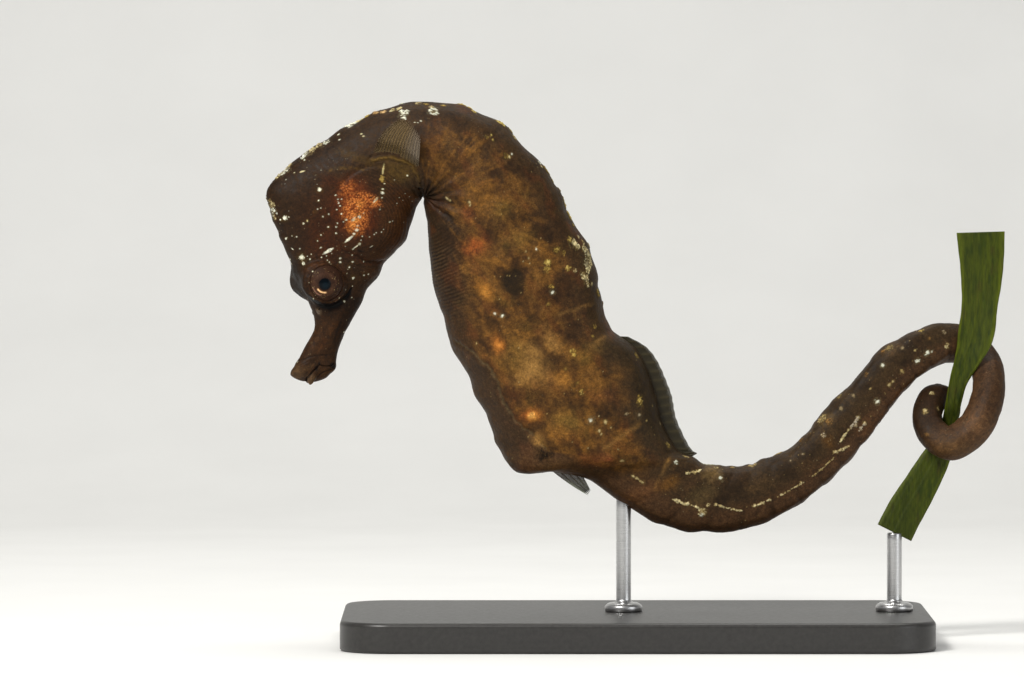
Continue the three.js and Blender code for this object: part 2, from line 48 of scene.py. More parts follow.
# ------------------------------------------------------------------ the body's sections, as in the solids
# name, dorsal point [x, z], ventral point [x, z], half width, k1, k2, lean in degrees, y
STATIONS = [
    ("mouth_tip", (-27.2, 20.96), (-25.68, 20.72), 0.3, 0, 0.2, 22, 0),
    ("lips", (-27.64, 21.6), (-24.88, 21.28), 0.72, 0, 0.3, 22, 0),
    ("mouth_flare", (-27.63, 22.14), (-24.49, 22.0), 0.92, 0, 0.3, 22, 0),
    ("snout_front", (-27.09, 23.19), (-24.25, 23.0), 0.92, 0, 0.15, 22, 0),
    ("snout_mid", (-26.37, 24.46), (-23.71, 24.36), 0.98, 0, 0.12, 21, 0),
    ("snout_base", (-26.1, 25.92), (-23.0, 25.71), 1.16, 0.05, 0.12, 21, 0),
    ("orbit_front", (-26.72, 27.3), (-22.19, 27.11), 1.45, 0.08, 0.12, 21, 0),
    ("orbit", (-28.02, 28.96), (-21.6, 28.36), 1.85, 0.05, 0.15, 21, 0),
    ("brow", (-28.51, 30.99), (-20.36, 29.97), 2.15, -0.1, 0.1, 20, 0),
    ("forehead", (-29.26, 33.11), (-19.03, 31.28), 2.5, -0.2, 0.05, 18, 0),
    ("crown", (-30.01, 35.84), (-18.13, 33.36), 2.8, -0.25, 0.02, 15, 0),
    ("occiput", (-28.53, 37.94), (-17.77, 34.8), 2.9, -0.2, 0.02, 12, 0),
    ("nape_front", (-24.87, 40.35), (-17.51, 35.35), 2.9, -0.12, 0.05, 8, 0),
    ("nape", (-21.46, 42.2), (-17.4, 35.6), 2.8, -0.05, 0.08, 4, 0),
    ("neck", (-18.4, 43.12), (-17.28, 35.64), 2.8, 0, 0.1, 1, 0),
    ("shoulder", (-15.2, 43.06), (-17.31, 35.1), 3.0, 0.03, 0.12, 0, 0),
    ("trunk_1", (-11.62, 41.82), (-17.15, 34.2), 3.3, 0.05, 0.15, 0, 0),
    ("trunk_2", (-8.36, 38.81), (-16.95, 32.4), 3.7, 0.07, 0.18, 0, 0),
    ("trunk_3", (-5.61, 34.34), (-16.65, 29.67), 4.0, 0.08, 0.2, 0, 0),
    ("trunk_4", (-3.61, 30.1), (-16.02, 26.75), 4.15, 0.1, 0.2, 0, 0),
    ("trunk_5", (-2.4, 25.25), (-14.8, 22.92), 4.2, 0.12, 0.2, 0, 0),
    ("fin_front", (-0.2, 23.3), (-13.21, 20.05), 4.15, 0.14, 0.2, 0, 0),
    ("trunk_6", (1.2, 19.8), (-11.67, 16.39), 3.9, 0.14, 0.2, 0, 0),
    ("belly_end", (1.95, 17.12), (-9.67, 13.54), 3.5, 0.12, 0.2, 0, 0),
    ("vent", (3.09, 15.26), (-6.99, 13.53), 3.0, 0.1, 0.22, 0, 0.05),
    ("tail_root", (4.23, 14.82), (-4.41, 13.1), 2.6, 0.06, 0.25, 0, 0.1),
    ("tail_1", (5.17, 14.19), (-1.46, 11.15), 2.35, 0.03, 0.28, 0, 0.15),
    ("tail_2", (6.59, 14.1), (1.93, 9.31), 2.2, 0, 0.3, 0, 0.25),
    ("tail_3", (8.39, 14.08), (6.57, 8.75), 2.1, 0, 0.3, 0, 0.35),
    ("tail_4", (11.55, 15.23), (12.48, 10.76), 2.0, 0, 0.3, 0, 0.55),
    ("tail_5", (15.58, 19.21), (18.03, 15.71), 1.85, 0, 0.3, 0, 0.85),
    ("tail_6", (20.03, 23.81), (21.81, 20.58), 1.7, 0, 0.3, 0, 1.25),
    ("tail_7", (22.43, 25.05), (23.35, 21.77), 1.62, 0, 0.3, 0, 1.5),
]
COIL_CENTRE = (25.44, 0.1, 19.52)
COIL = [
    ((24.64, 2.0, 23.84), 1.56),
    ((26.4, 2.36, 23.5), 1.44),
    ((27.5, 1.5, 22.5), 1.34),
    ((27.9, -0.3, 21.0), 1.26),
    ((27.6, -1.6, 19.2), 1.28),
    ((26.44, -2.2, 17.05), 1.33),
    ((24.6, -1.98, 16.0), 1.33),
    ((23.22, -1.0, 17.0), 1.23),
    ((23.12, 0.46, 18.7), 1.13),
    ((23.86, 1.44, 19.62), 1.04),
    ((24.55, 2.0, 19.5), 0.84),
    ((25.15, 2.15, 18.75), 0.66),
    ((25.2, 2.0, 17.8), 0.46),
    ((24.95, 1.85, 16.95), 0.22),
]
BLADE = [  # centre, half width, half thickness, twist in degrees
    ((27.2, -0.5, 32.8), 1.92, 0.3, 8),
    ((27.3, -0.45, 30.0), 1.75, 0.31, 12),
    ((27.16, -0.42, 27.2), 1.5, 0.32, 18),
    ((26.74, -0.46, 24.2), 1.48, 0.32, 25),
    ((26.12, -0.36, 22.5), 1.1, 0.33, 27),
    ((25.52, -0.1, 21.0), 0.76, 0.34, 22),
    ((25.12, 0.18, 19.2), 0.65, 0.34, 10),
    ((24.84, 0.5, 17.6), 0.66, 0.34, 0),
    ((24.3, 0.66, 15.9), 0.95, 0.34, 0),
    ((22.7, 0.6, 12.8), 1.35, 0.34, 0),
    ((21.0, 0.45, 9.9), 1.5, 0.34, 0),
    ((20.4, 0.35, 8.7), 1.52, 0.34, 0),
]
EYE_R, EYE_DEEP, EYE_UP, EYE_SIDE = 1.68, 1.42, 1.15, 1.72
RIM_R, RIM_DEEP = 1.95, 1.2
BODY_ROD_X = -1.3  # the body rod's x in the tables above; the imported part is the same, moved along x
SHIFT = sum(c[0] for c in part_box("stand_rod_body")) / 2 / MM - BODY_ROD_X
# Points along the outline of the back and of the underside, in marking units (right, down).
BACK_EDGE = [
    [(296.8, 361.8), (299.8, 357.0), (302.7, 351.1), (305.4, 345.7), (308.5, 340.7), (311.5, 335.5), (314.2, 330.1), (315.0, 323.9), (314.2, 317.7)],
    [(292.5, 283.3), (290.8, 277.7), (288.1, 272.2), (288.3, 266.0), (289.1, 260.0), (287.6, 254.1), (285.3, 248.2), (283.0, 242.0), (279.4, 236.8), (279.2, 230.9), (276.1, 225.9), (272.9, 220.1), (271.6, 212.0), (271.0, 206.4), (268.9, 201.1), (266.9, 195.4), (267.6, 189.6), (270.6, 184.4), (274.7, 179.5), (279.0, 175.9), (283.2, 172.1), (287.9, 168.4), (291.3, 163.2), (296.6, 159.0), (304.0, 154.2), (309.8, 149.7), (317.3, 144.2), (322.7, 142.3), (327.5, 139.6), (333.2, 135.0), (337.2, 131.0), (341.7, 127.3), (347.5, 125.6), (353.6, 124.7), (358.6, 122.0), (363.2, 118.5), (368.2, 115.9), (372.5, 111.9), (378.2, 110.5), (384.1, 109.6), (389.8, 108.2), (395.4, 106.2), (400.9, 104.5), (406.4, 101.9), (412.2, 101.8), (420.0, 101.7), (426.1, 101.7), (432.1, 102.2), (438.2, 102.8), (444.3, 103.1), (450.0, 103.9), (456.0, 103.4), (461.5, 104.4), (468.2, 107.0), (474.1, 110.9), (480.3, 114.0), (486.4, 116.9), (493.5, 118.5), (499.8, 121.0), (505.3, 124.4), (509.6, 128.8), (512.5, 134.0), (516.0, 138.7), (519.8, 143.0), (523.6, 147.4), (527.9, 151.5), (533.0, 155.1), (537.6, 159.0), (541.3, 163.3), (545.9, 167.2), (548.2, 173.7), (551.8, 179.4), (554.3, 185.5), (559.9, 189.0), (562.4, 195.1), (563.6, 201.6), (564.9, 208.0), (568.5, 213.5), (571.9, 219.1), (574.5, 224.8), (578.8, 231.2), (582.8, 236.3), (587.1, 241.2), (589.6, 246.7), (591.0, 252.7)],
    [(595.8, 283.0), (597.2, 288.7)],
    [(604.5, 315.8), (607.8, 321.1), (610.3, 326.4), (612.7, 331.8), (618.5, 334.6)],
    [(703.8, 464.2), (714.7, 465.3), (720.3, 464.9), (725.8, 466.8), (731.5, 465.6), (736.9, 467.0), (742.7, 466.2), (747.9, 463.7), (753.3, 465.0), (757.8, 461.2), (762.3, 457.4), (767.9, 458.2), (773.6, 456.8), (778.7, 453.4), (784.7, 451.8), (790.3, 448.8), (794.7, 445.4), (798.8, 441.3), (802.5, 436.6), (807.9, 433.6), (811.8, 428.9), (813.8, 423.4), (818.3, 419.1), (821.1, 414.2), (825.0, 410.3), (829.0, 406.3), (831.7, 401.1), (836.3, 397.7), (840.8, 394.1), (845.1, 390.1), (850.3, 386.6), (854.2, 382.1), (857.7, 377.2), (861.6, 372.5), (865.5, 367.7), (870.1, 363.6), (872.7, 357.5), (877.0, 352.8), (881.9, 348.4), (886.2, 344.9), (891.7, 342.8), (897.6, 341.1), (902.4, 337.6), (907.6, 334.7), (912.8, 332.1), (918.6, 331.2), (924.2, 327.7), (929.5, 325.7), (935.2, 323.9), (942.9, 323.2)],
]
BELLY_EDGE = [
    [(327.2, 375.4), (331.2, 371.4), (333.8, 366.1), (334.8, 360.4), (336.1, 354.2), (338.3, 348.7), (340.7, 343.0), (343.1, 337.5), (345.1, 331.8), (348.5, 326.6), (351.3, 321.1), (354.1, 316.3), (356.8, 311.1), (360.1, 306.1), (362.8, 300.4), (364.4, 294.7), (366.8, 288.9), (371.9, 284.2), (375.9, 280.2), (379.2, 275.4), (381.4, 269.8), (382.9, 263.8), (387.3, 259.2), (391.4, 255.2), (394.8, 251.6), (398.2, 247.2), (402.2, 243.8), (406.2, 240.3), (407.8, 234.7), (409.1, 229.3), (411.2, 223.5), (413.2, 217.8), (414.8, 212.3), (416.5, 206.8)],
    [(425.8, 216.0), (427.6, 221.4), (427.7, 227.6), (428.1, 233.7), (428.5, 239.5), (428.6, 245.7), (428.9, 251.3), (429.9, 256.8), (430.6, 262.6), (431.0, 268.5), (431.8, 274.4), (432.3, 280.5), (433.5, 286.6), (435.1, 292.6), (436.7, 297.9), (438.9, 303.2), (440.2, 308.8), (443.2, 314.0), (444.7, 319.8), (445.6, 325.8), (446.9, 331.8), (448.7, 337.8), (450.3, 343.1), (451.3, 348.8), (454.4, 353.8), (458.1, 358.4), (461.2, 363.6), (464.5, 369.0), (468.4, 374.2), (470.7, 379.5), (471.8, 385.5), (472.6, 391.4), (474.8, 397.1), (478.3, 402.1), (482.4, 407.0), (485.9, 412.2), (487.6, 418.0), (489.5, 423.8), (491.9, 429.5), (494.2, 435.3), (492.9, 441.8), (497.7, 446.2)],
    [(522.1, 473.5), (528.8, 474.2), (534.4, 472.8), (541.0, 472.2), (546.8, 471.2), (562.5, 473.4), (567.9, 474.7), (573.5, 474.7), (578.8, 476.2), (584.0, 478.1)],
    [(650.6, 523.2), (656.7, 523.9), (662.6, 524.7), (668.0, 526.8), (673.8, 528.2), (679.4, 530.6), (685.1, 532.5), (691.1, 533.4), (697.1, 532.4), (703.0, 531.3), (708.7, 531.3), (714.4, 533.3), (719.9, 533.3), (726.7, 533.0), (733.4, 531.8), (740.2, 531.1), (746.5, 528.7), (753.0, 527.0), (759.7, 525.7), (766.0, 523.6), (772.0, 520.6), (777.5, 517.0), (782.9, 513.6), (788.6, 510.9), (793.9, 507.9), (799.6, 505.9), (804.6, 502.8), (808.5, 498.1), (812.5, 493.9), (816.8, 490.1), (822.1, 487.4), (827.5, 484.8), (831.9, 481.0), (835.3, 476.2), (838.7, 471.7), (843.0, 467.8), (847.6, 464.4), (851.8, 460.6), (855.2, 456.3), (857.8, 451.2), (861.6, 445.9), (865.9, 441.3), (869.9, 436.6), (873.8, 431.8), (876.8, 426.3), (880.4, 421.4), (884.6, 416.9), (888.7, 412.3), (892.2, 407.5), (895.8, 402.9), (899.2, 398.2), (902.9, 394.0), (907.7, 390.0), (911.8, 385.4), (915.6, 380.5), (920.2, 377.0), (925.2, 374.0), (930.2, 370.9), (935.7, 368.6)],
]

SCALE = 0.08  # millimetres of the animal to one unit of the marking coordinates below


def unit(a):
    return a / np.maximum(np.linalg.norm(a, axis=-1, keepdims=True), 1e-12)


def smooth(a, b, x):
    t = np.clip((x - a) / (b - a), 0, 1)
    return t * t * (3 - 2 * t)


def hermite(knots, rows, s):
    """Cubic through rows at knots, its slopes from the neighbours on each side."""
    knots, rows = np.asarray(knots, float), np.asarray(rows, float)
    n = len(knots)
    slope = np.empty_like(rows)
    h = np.diff(knots)[:, None]
    d = np.diff(rows, axis=0) / h
    slope[0], slope[-1] = d[0], d[-1]
    slope[1:-1] = (d[:-1] * h[1:] + d[1:] * h[:-1]) / (h[1:] + h[:-1])
    s = np.asarray(s, float)
    i = np.clip(np.searchsorted(knots[1:], s, side="left"), 0, n - 2)
    hh = (knots[i + 1] - knots[i])[..., None]
    t = np.clip((s - knots[i])[..., None] / hh, 0, 1)
    t2, t3 = t * t, t * t * t
    return (
        (2 * t3 - 3 * t2 + 1) * rows[i]
        + (t3 - 2 * t2 + t) * hh * slope[i]
        + (-2 * t3 + 3 * t2) * rows[i + 1]
        + (t3 - t2) * hh * slope[i + 1]
    )


def body_tables():
    names, centre, down, left, size = [], [], [], [], []
    for name, d, v, w, k1, k2, roll, y in STATIONS:
        D, E = np.array([d[0], y, d[1]]), np.array([v[0], y, v[1]])
        axis = E - D
        half = np.linalg.norm(axis) / 2
        axis = axis / (2 * half)
        side, a = np.array([0.0, -1.0, 0.0]), math.radians(roll)
        names.append(name)
        centre.append((D + E) / 2)
        down.append(axis * math.cos(a) - side * math.sin(a))
        left.append(side * math.cos(a) + axis * math.sin(a))
        size.append([half, w, k1, k2])
    for i, (c, r) in enumerate(COIL):
        here = np.array(c)
        prev = np.array(COIL[i - 1][0]) if i else centre[-1]
        after = np.array(COIL[i + 1][0]) if i < len(COIL) - 1 else 2 * here - prev
        along = unit(after - prev)
        inward = np.array(COIL_CENTRE) - here
        inward = unit(inward - along * inward.dot(along))
        names.append("coil_%d" % i)
        centre.append(here)
        down.append(inward)
        left.append(np.cross(inward, along))
        size.append([r, r * 0.96, 0, 0.22])
    knots = np.concatenate([[0], np.cumsum(np.linalg.norm(np.diff(centre, axis=0), axis=1))])
    rows = np.hstack([centre, down, left, size])
    return names, knots, rows


NAMES, KNOTS, ROWS = body_tables()


def at(name):
    return KNOTS[NAMES.index(name)]


def section(s):
    """Centre, ventral direction, left direction and sizes at distances s."""
    r = hermite(KNOTS, ROWS, s)
    down = unit(r[..., 3:6])
    side = r[..., 6:9]
    side = unit(side - down * np.sum(side * down, -1, keepdims=True))
    return r[..., 0:3], down, side, r[..., 9], r[..., 10], r[..., 11], r[..., 12]


def in_section(s, up, side):
    c, down, left, *_ = section(np.array([s], float))
    return (c - down * up + left * side)[0]


# ------------------------------------------------------------------ noise
_rng = np.random.default_rng(4025)
_perm = np.tile(_rng.permutation(256), 3)
_grad = unit(_rng.normal(size=(256, 3)))


def noise(p):
    """Smooth noise in about -1..1 at points p, one cell to a unit."""
    i = np.floor(p).astype(int)
    f = p - i
    u = f * f * f * (f * (f * 6 - 15) + 10)
    i &= 255
    out = 0
    for dx in (0, 1):
        wx = u[:, 0] if dx else 1 - u[:, 0]
        for dy in (0, 1):
            wy = u[:, 1] if dy else 1 - u[:, 1]
            for dz in (0, 1):
                wz = u[:, 2] if dz else 1 - u[:, 2]
                k = _perm[_perm[_perm[i[:, 0] + dx] + i[:, 1] + dy] + i[:, 2] + dz]
                g = _grad[k]
                dot = g[:, 0] * (f[:, 0] - dx) + g[:, 1] * (f[:, 1] - dy) + g[:, 2] * (f[:, 2] - dz)
                out = out + wx * wy * wz * dot
    return out * 1.6


def fbm(p, size, octaves=3, seed=0.0):
    out, amp, total = 0, 1.0, 0
    for k in range(octaves):
        out = out + amp * noise(p / size * 2**k + seed + 17.3 * k)
        total += amp
        amp *= 0.55
    return out / total


# ------------------------------------------------------------------ meshes
def new_mesh(name, points, quads, tris=None, shade=True):
    """points in millimetres in the tables' frame."""
    me = bpy.data.meshes.new(name)
    co = (np.asarray(points, float) + np.array([SHIFT, 0, 0])) * MM
    quads = np.asarray(quads, dtype=np.int32).reshape(-1, 4)
    tris = np.asarray(tris if tris is not None else [], dtype=np.int32).reshape(-1, 3)
    me.vertices.add(len(co))
    me.vertices.foreach_set("co", co.ravel())
    loops = np.concatenate([quads.ravel(), tris.ravel()])
    me.loops.add(len(loops))
    me.loops.foreach_set("vertex_index", loops)
    count = len(quads) + len(tris)
    me.polygons.add(count)
    start = np.concatenate([np.arange(len(quads)) * 4, len(quads) * 4 + np.arange(len(tris)) * 3]).astype(np.int32)
    me.polygons.foreach_set("loop_start", start)
    me.polygons.foreach_set("use_smooth", np.full(count, shade))
    me.update(calc_edges=True)
    me.validate()
    ob = bpy.data.objects.new(name, me)
    bpy.context.scene.collection.objects.link(ob)
    return ob


def paint(ob, colour, name="paint"):
    a = ob.data.color_attributes.new(name=name, type="FLOAT_COLOR", domain="POINT")
    rgba = np.ones((len(ob.data.vertices), 4), dtype=np.float32)
    rgba[:, :3] = np.clip(colour, 0, 1)
    a.data.foreach_set("color", rgba.ravel())


def number(ob, values, name):
    a = ob.data.attributes.new(name=name, type="FLOAT", domain="POINT")
    a.data.foreach_set("value", np.asarray(values, dtype=np.float32))


def grid_quads(n, m, wrap, flip=False):
    i, j = np.meshgrid(np.arange(n - 1), np.arange(m if wrap else m - 1), indexing="ij")
    a, b = i * m + j, i * m + (j + 1) % m
    q = np.stack([a, b, b + m, a + m], -1).reshape(-1, 4)
    return q[:, ::-1] if flip else q


def grid_normals(P, wrap):
    """Unit normals of a grid of points, rows by columns, columns closed if wrap."""
    du = np.empty_like(P)
    du[1:-1] = P[2:] - P[:-2]
    du[0], du[-1] = P[1] - P[0], P[-1] - P[-2]
    if wrap:
        dv = np.roll(P, -1, 1) - np.roll(P, 1, 1)
    else:
        dv = np.empty_like(P)
        dv[:, 1:-1] = P[:, 2:] - P[:, :-2]
        dv[:, 0], dv[:, -1] = P[:, 1] - P[:, 0], P[:, -1] - P[:, -2]
    return unit(np.cross(du, dv))


# ------------------------------------------------------------------ the skin's grid
S_END = KNOTS[-1]
HEAD_ROWS, BODY_ROWS, COLS = 560, 1160, 448
s_head = np.linspace(0, at("nape_front"), HEAD_ROWS, endpoint=False)
s_body = np.linspace(at("nape_front"), S_END, BODY_ROWS)
S = np.concatenate([s_head, s_body])
T = np.linspace(0, 2 * math.pi, COLS, endpoint=False)
N_S = len(S)
C, DOWN, LEFT, HALF, WID, K1, K2 = section(S)


def surface(angle):
    u, v = np.cos(angle)[None, :], np.sin(angle)[None, :]
    r = WID[:, None] * v * (1 + K1[:, None] * u + K2[:, None] * u * u)
    return C[:, None] - DOWN[:, None] * (HALF[:, None] * u)[..., None] + LEFT[:, None] * r[..., None]


P0 = surface(T)
mirror_angle = np.minimum(T, 2 * math.pi - T)
in_coil = (S > at("tail_7"))[:, None, None]
Q0 = np.where(in_coil, P0, surface(mirror_angle))  # each point's match on the left side
NORMAL = grid_normals(P0, True)
out = np.sum(NORMAL * (P0 - C[:, None]), -1).mean()
if out < 0:
    NORMAL = -NORMAL
    FLIP = True
else:
    FLIP = False

Pf, Qf, Nf = P0.reshape(-1, 3), Q0.reshape(-1, 3), NORMAL.reshape(-1, 3)
Sf = np.repeat(S, COLS)
Tf = np.tile(T, N_S)
TM = np.tile(mirror_angle, N_S)  # 0 dorsal, pi ventral
deg = np.degrees(TM)
is_left = Tf <= math.pi
coil_zone = Sf > at("tail_7")
# the far side's marks are like the near side's, but shifted and not the same
wander = np.stack([noise(Qf / 2.1 + k * 31.7) for k in range(3)], -1)
QM = Qf + np.where(is_left | coil_zone, 0.0, 1.0)[:, None] * wander * 0.55
MX = QM[:, 0] / SCALE + 640
MY = 642 - QM[:, 2] / SCALE
N1 = fbm(Pf, 2.4, 3, 3.1)
N2 = fbm(Pf, 1.0, 3, 9.7)
N3 = fbm(Pf, 0.4, 2, 21.9)
N4 = fbm(Pf, 0.17, 2, 55.1)
WX, WY = MX + 2.6 * N2 + 1.2 * N3, MY + 2.6 * fbm(Pf, 1.0, 3, 40.2) - 1.2 * N3


_seen = np.where((is_left | coil_zone) & (Nf[:, 1] < 0.35))[0]
_seen = _seen[np.argsort(Qf[_seen, 0], kind="stable")]
_seen_x, _seen_y = Qf[_seen, 0] / SCALE + 640, 642 - Qf[_seen, 2] / SCALE


def anchor(x, y):
    """The point of the left side (of the side towards the front in the coil) seen at marking coordinates x, y."""
    a, b = np.searchsorted(_seen_x, [x - 3, x + 3])
    d = (_seen_x[a:b] - x) ** 2 + (_seen_y[a:b] - y) ** 2
    if len(d) and d.min() < 9:
        close = np.where(d < d.min() + 2.5)[0]
        k = _seen[a:b][close]
        return Qf[k[np.argmin(d[close] + 4 * (Qf[k, 1] > Qf[k, 1].min() + 1.5))]]
    d = (Qf[:, 0] / SCALE + 640 - x) ** 2 + (642 - Qf[:, 2] / SCALE - y) ** 2
    return Qf[np.argmin(np.where(is_left | coil_zone, d, 1e9))]


class Patch:
    """Which vertices lie near a point, so that small marks are quick."""

    def __init__(self):
        self.order = np.argsort(QM[:, 0], kind="stable")
        self.xs = QM[self.order, 0]

    def near(self, p, r):
        a, b = np.searchsorted(self.xs, [p[0] - r, p[0] + r])
        k = self.order[a:b]
        k = k[np.abs(QM[k, 2] - p[2]) < r]
        return k[np.abs(QM[k, 1] - p[1]) < r]


PATCH = Patch()


def spot(x, y, r, aspect=1.0, turn=0.0, rough=0.25, soft=0.3):
    """Vertices and strengths of a small mark of radius r, in marking units, at x, y. turn is the long axis's angle in degrees, y down."""
    p = anchor(x, y)
    R = r * SCALE
    k = PATCH.near(p, R * aspect * 1.6)
    d = QM[k] - p
    c, s_ = math.cos(math.radians(turn)), math.sin(math.radians(turn))
    along = d[:, 0] * c - d[:, 2] * s_
    across = -(d[:, 0] * s_ + d[:, 2] * c)
    dist = np.sqrt((along / aspect) ** 2 + across**2 + d[:, 1] ** 2) / R
    dist = dist * (1 + rough * (N3[k] * 1.3 + N4[k] * 1.5))
    return k, 1 - smooth(1 - soft, 1 + soft, dist)


def blob(x, y, rx, ry=None, turn=0.0, soft=0.5):
    """Strength of a wide soft area at every vertex, in marking coordinates."""
    ry = rx if ry is None else ry
    c, s_ = math.cos(math.radians(turn)), math.sin(math.radians(turn))
    u, v = WX - x, WY - y
    a, b = (u * c + v * s_) / rx, (-u * s_ + v * c) / ry
    return 1 - smooth(1 - soft, 1 + soft, np.sqrt(a * a + b * b))


def line_distance(points, x=None, y=None):
    """Distance in marking units to a line through points, and how far along it, 0 to 1."""
    x, y = (WX, WY) if x is None else (x, y)
    best, pos = np.full(len(x), 1e9), np.zeros(len(x))
    total = len(points) - 1
    for i in range(total):
        (x0, y0), (x1, y1) = points[i], points[i + 1]
        dx, dy = x1 - x0, y1 - y0
        t = np.clip(((x - x0) * dx + (y - y0) * dy) / (dx * dx + dy * dy), 0, 1)
        d = np.hypot(x - x0 - t * dx, y - y0 - t * dy)
        closer = d < best
        best = np.where(closer, d, best)
        pos = np.where(closer, (i + t) / total, pos)
    return best, pos


# ------------------------------------------------------------------ relief of the skin, millimetres outwards
NF, SH, VENT = at("nape_front"), at("shoulder"), at("vent")
head_zone = 1 - smooth(NF - 0.6, NF + 1.2, Sf)
trunk_zone = smooth(at("nape"), SH + 1, Sf) * (1 - smooth(at("vent") - 1, at("tail_1"), Sf))
tail_zone = smooth(at("vent"), at("tail_1"), Sf)
relief = np.zeros(len(Pf))

# Rings: eleven round the trunk, thirty-four along the tail, each shorter than the last.
trunk_from, trunk_rings = at("nape"), 11
ring_at = [trunk_from + (VENT - trunk_from) * k / trunk_rings for k in range(trunk_rings + 1)]
tail_rings = 34
lengths = np.array([1.0 - 0.62 * k / (tail_rings - 1) for k in range(tail_rings)])
ring_at += list(VENT + np.cumsum(lengths) / lengths.sum() * (S_END - VENT))
ring_at = np.array(ring_at)
ring_no = np.interp(S, ring_at, np.arange(len(ring_at)))
RN = np.repeat(ring_no, COLS)
phase = RN - np.floor(RN)
lobe = np.abs(np.sin(math.pi * phase)) ** 0.7  # a rounded lobe to each ring, a narrow crease between
crease = np.exp(-((np.minimum(phase, 1 - phase)) / 0.09) ** 2)


def ridge(centre, width):
    return np.exp(-(((deg - centre) / width) ** 2))


superior, lateral, inferior = ridge(32, 11), ridge(86, 9), ridge(137, 10)
relief += trunk_zone * (superior * (0.04 + 0.05 * lobe) + lateral * (0.015 + 0.035 * lobe) + inferior * 0.05)
relief += trunk_zone * (0.022 * (lobe - 0.6) * (1 - smooth(118, 140, deg)))
tail_sup, tail_inf = ridge(38, 13), ridge(142, 13)
in_loop = smooth(at("tail_7") - 1, at("coil_1"), Sf)
tail_soft = tail_zone * (1 - 0.72 * in_loop)
relief += tail_soft * (tail_sup * (0.05 + 0.05 * lobe) + tail_inf * (0.03 + 0.09 * lobe) + 0.03 * (lobe - 0.6))
relief += tail_soft * (-0.03 * ridge(90, 26) - 0.03 * ridge(0, 16))
relief += tail_soft * 0.04 * (lobe - 0.75) * smooth(135, 165, deg)
# a soft unevenness of flesh
relief += 0.045 * N1 * (1 - 0.4 * head_zone) + 0.022 * N2 + 0.010 * N3 + 0.006 * N4

# Fine folds across the throat and the front of the trunk: they follow the sections and fan out from the throat.
vline = surface(np.array([math.pi * 0.93]))[:, 0]
v_run = np.concatenate([[0], np.cumsum(np.linalg.norm(np.diff(vline, axis=0), axis=1))])
VR = np.repeat(v_run, COLS)
wave = VR / 0.27 + 0.9 * N1 + 0.25 * N2 + 0.05 * N3
fold = np.cos(2 * math.pi * wave)
fold_amount = np.clip(0.75 + 0.8 * fbm(Pf, 1.5, 2, 88.0), 0.25, 1.2)
fold_zone = smooth(108, 140, deg + 13 * N2) * smooth(at("nape_front") - 0.2, at("nape"), Sf) * (1 - smooth(at("trunk_4") - 2.5, at("trunk_4") + 4.0, Sf))
throat_x, throat_y = 425.0, 197.0
throat_d = np.hypot(MX - throat_x, MY - throat_y)
throat = (1 - smooth(16, 56, throat_d)) * smooth(NF - 0.5, NF + 0.5, Sf)
relief += -0.042 * fold_zone * fold_amount * np.clip(-fold, 0, 1) ** 2 * (1 - throat)
fan_angle = np.degrees(np.arctan2(-(MY - throat_y), MX - throat_x))
fan = np.cos(np.radians(fan_angle) * 14 + 2.6 * N1 + 1.2 * N2)
fan_zone = throat * smooth(-65, -40, fan_angle) * (1 - smooth(75, 100, fan_angle)) * smooth(70, 110, deg)
relief += fan_zone * (0.11 * fan - 0.04)
fine = np.cos(2 * math.pi * (Sf / 0.30 + 0.5 * N1))
fine_zone = trunk_zone * smooth(30, 70, deg) * (1 - smooth(at("trunk_4"), at("trunk_5"), Sf)) * (0.5 + 0.5 * smooth(-0.3, 0.3, N1))
relief += fine_zone * 0.004 * fine

# The line that parts the plain belly band from the mottled side.
belly_line, _ = line_distance([(455, 340), (475, 352), (488, 365), (497.5, 380), (503, 400), (515, 419), (532, 434), (546, 447)])
relief += trunk_zone * (-0.06 * np.exp(-((belly_line / 1.6) ** 2)) + 0.035 * np.exp(-(((belly_line - 4) / 3) ** 2)))
belly_band = smooth(150, 165, deg + 6 * N1) * trunk_zone * smooth(at("trunk_4"), at("trunk_5"), Sf)
relief += belly_band * (0.09 * fbm(Pf, 1.6, 2, 77.0) + 0.02)

# Gill cover: bulging, with a fold along its rear edge and fine ribs that run round with it.
gx, gy = (MX - 377) / 42, (MY - 214) / 47
gill_r = np.sqrt(gx * gx + gy * gy)
side_on = smooth(28, 48, deg) * (1 - smooth(160, 178, deg))
gill_zone = (1 - smooth(NF + 0.6, NF + 2.4, Sf)) * side_on
relief += gill_zone * 0.16 * (1 - smooth(0.35, 1.02, gill_r))
relief += gill_zone * -0.07 * np.exp(-(((gill_r - 1.03) / 0.045) ** 2)) * smooth(0.1, 0.5, np.abs(MY - 214) / 47)
rib_r = np.hypot(MX - 360, MY - 222)
rib_a = np.degrees(np.arctan2(-(MY - 222), MX - 360))
rib = np.cos(2 * math.pi * (rib_r + 1.4 * N1 + 0.5 * N2) / 2.9)
rib_zone = gill_zone * smooth(19, 28, rib_r) * (1 - smooth(54, 60, rib_r)) * smooth(-62, -40, rib_a) * (1 - smooth(70, 98, rib_a))
relief += rib_zone * 0.014 * rib * np.clip(0.6 + 1.2 * N2, 0, 1.3)
cheek_line, _ = line_distance([(343, 250), (353, 254), (363, 259.5), (374, 262), (384, 262)])
relief += gill_zone * -0.055 * np.exp(-((cheek_line / 1.4) ** 2))
cheek_line2, _ = line_distance([(350, 262), (360, 266), (372, 268)])
relief += gill_zone * -0.03 * np.exp(-((cheek_line2 / 1.0) ** 2))
relief += head_zone * 0.10 * blob(371, 271, 9, 6, 20)

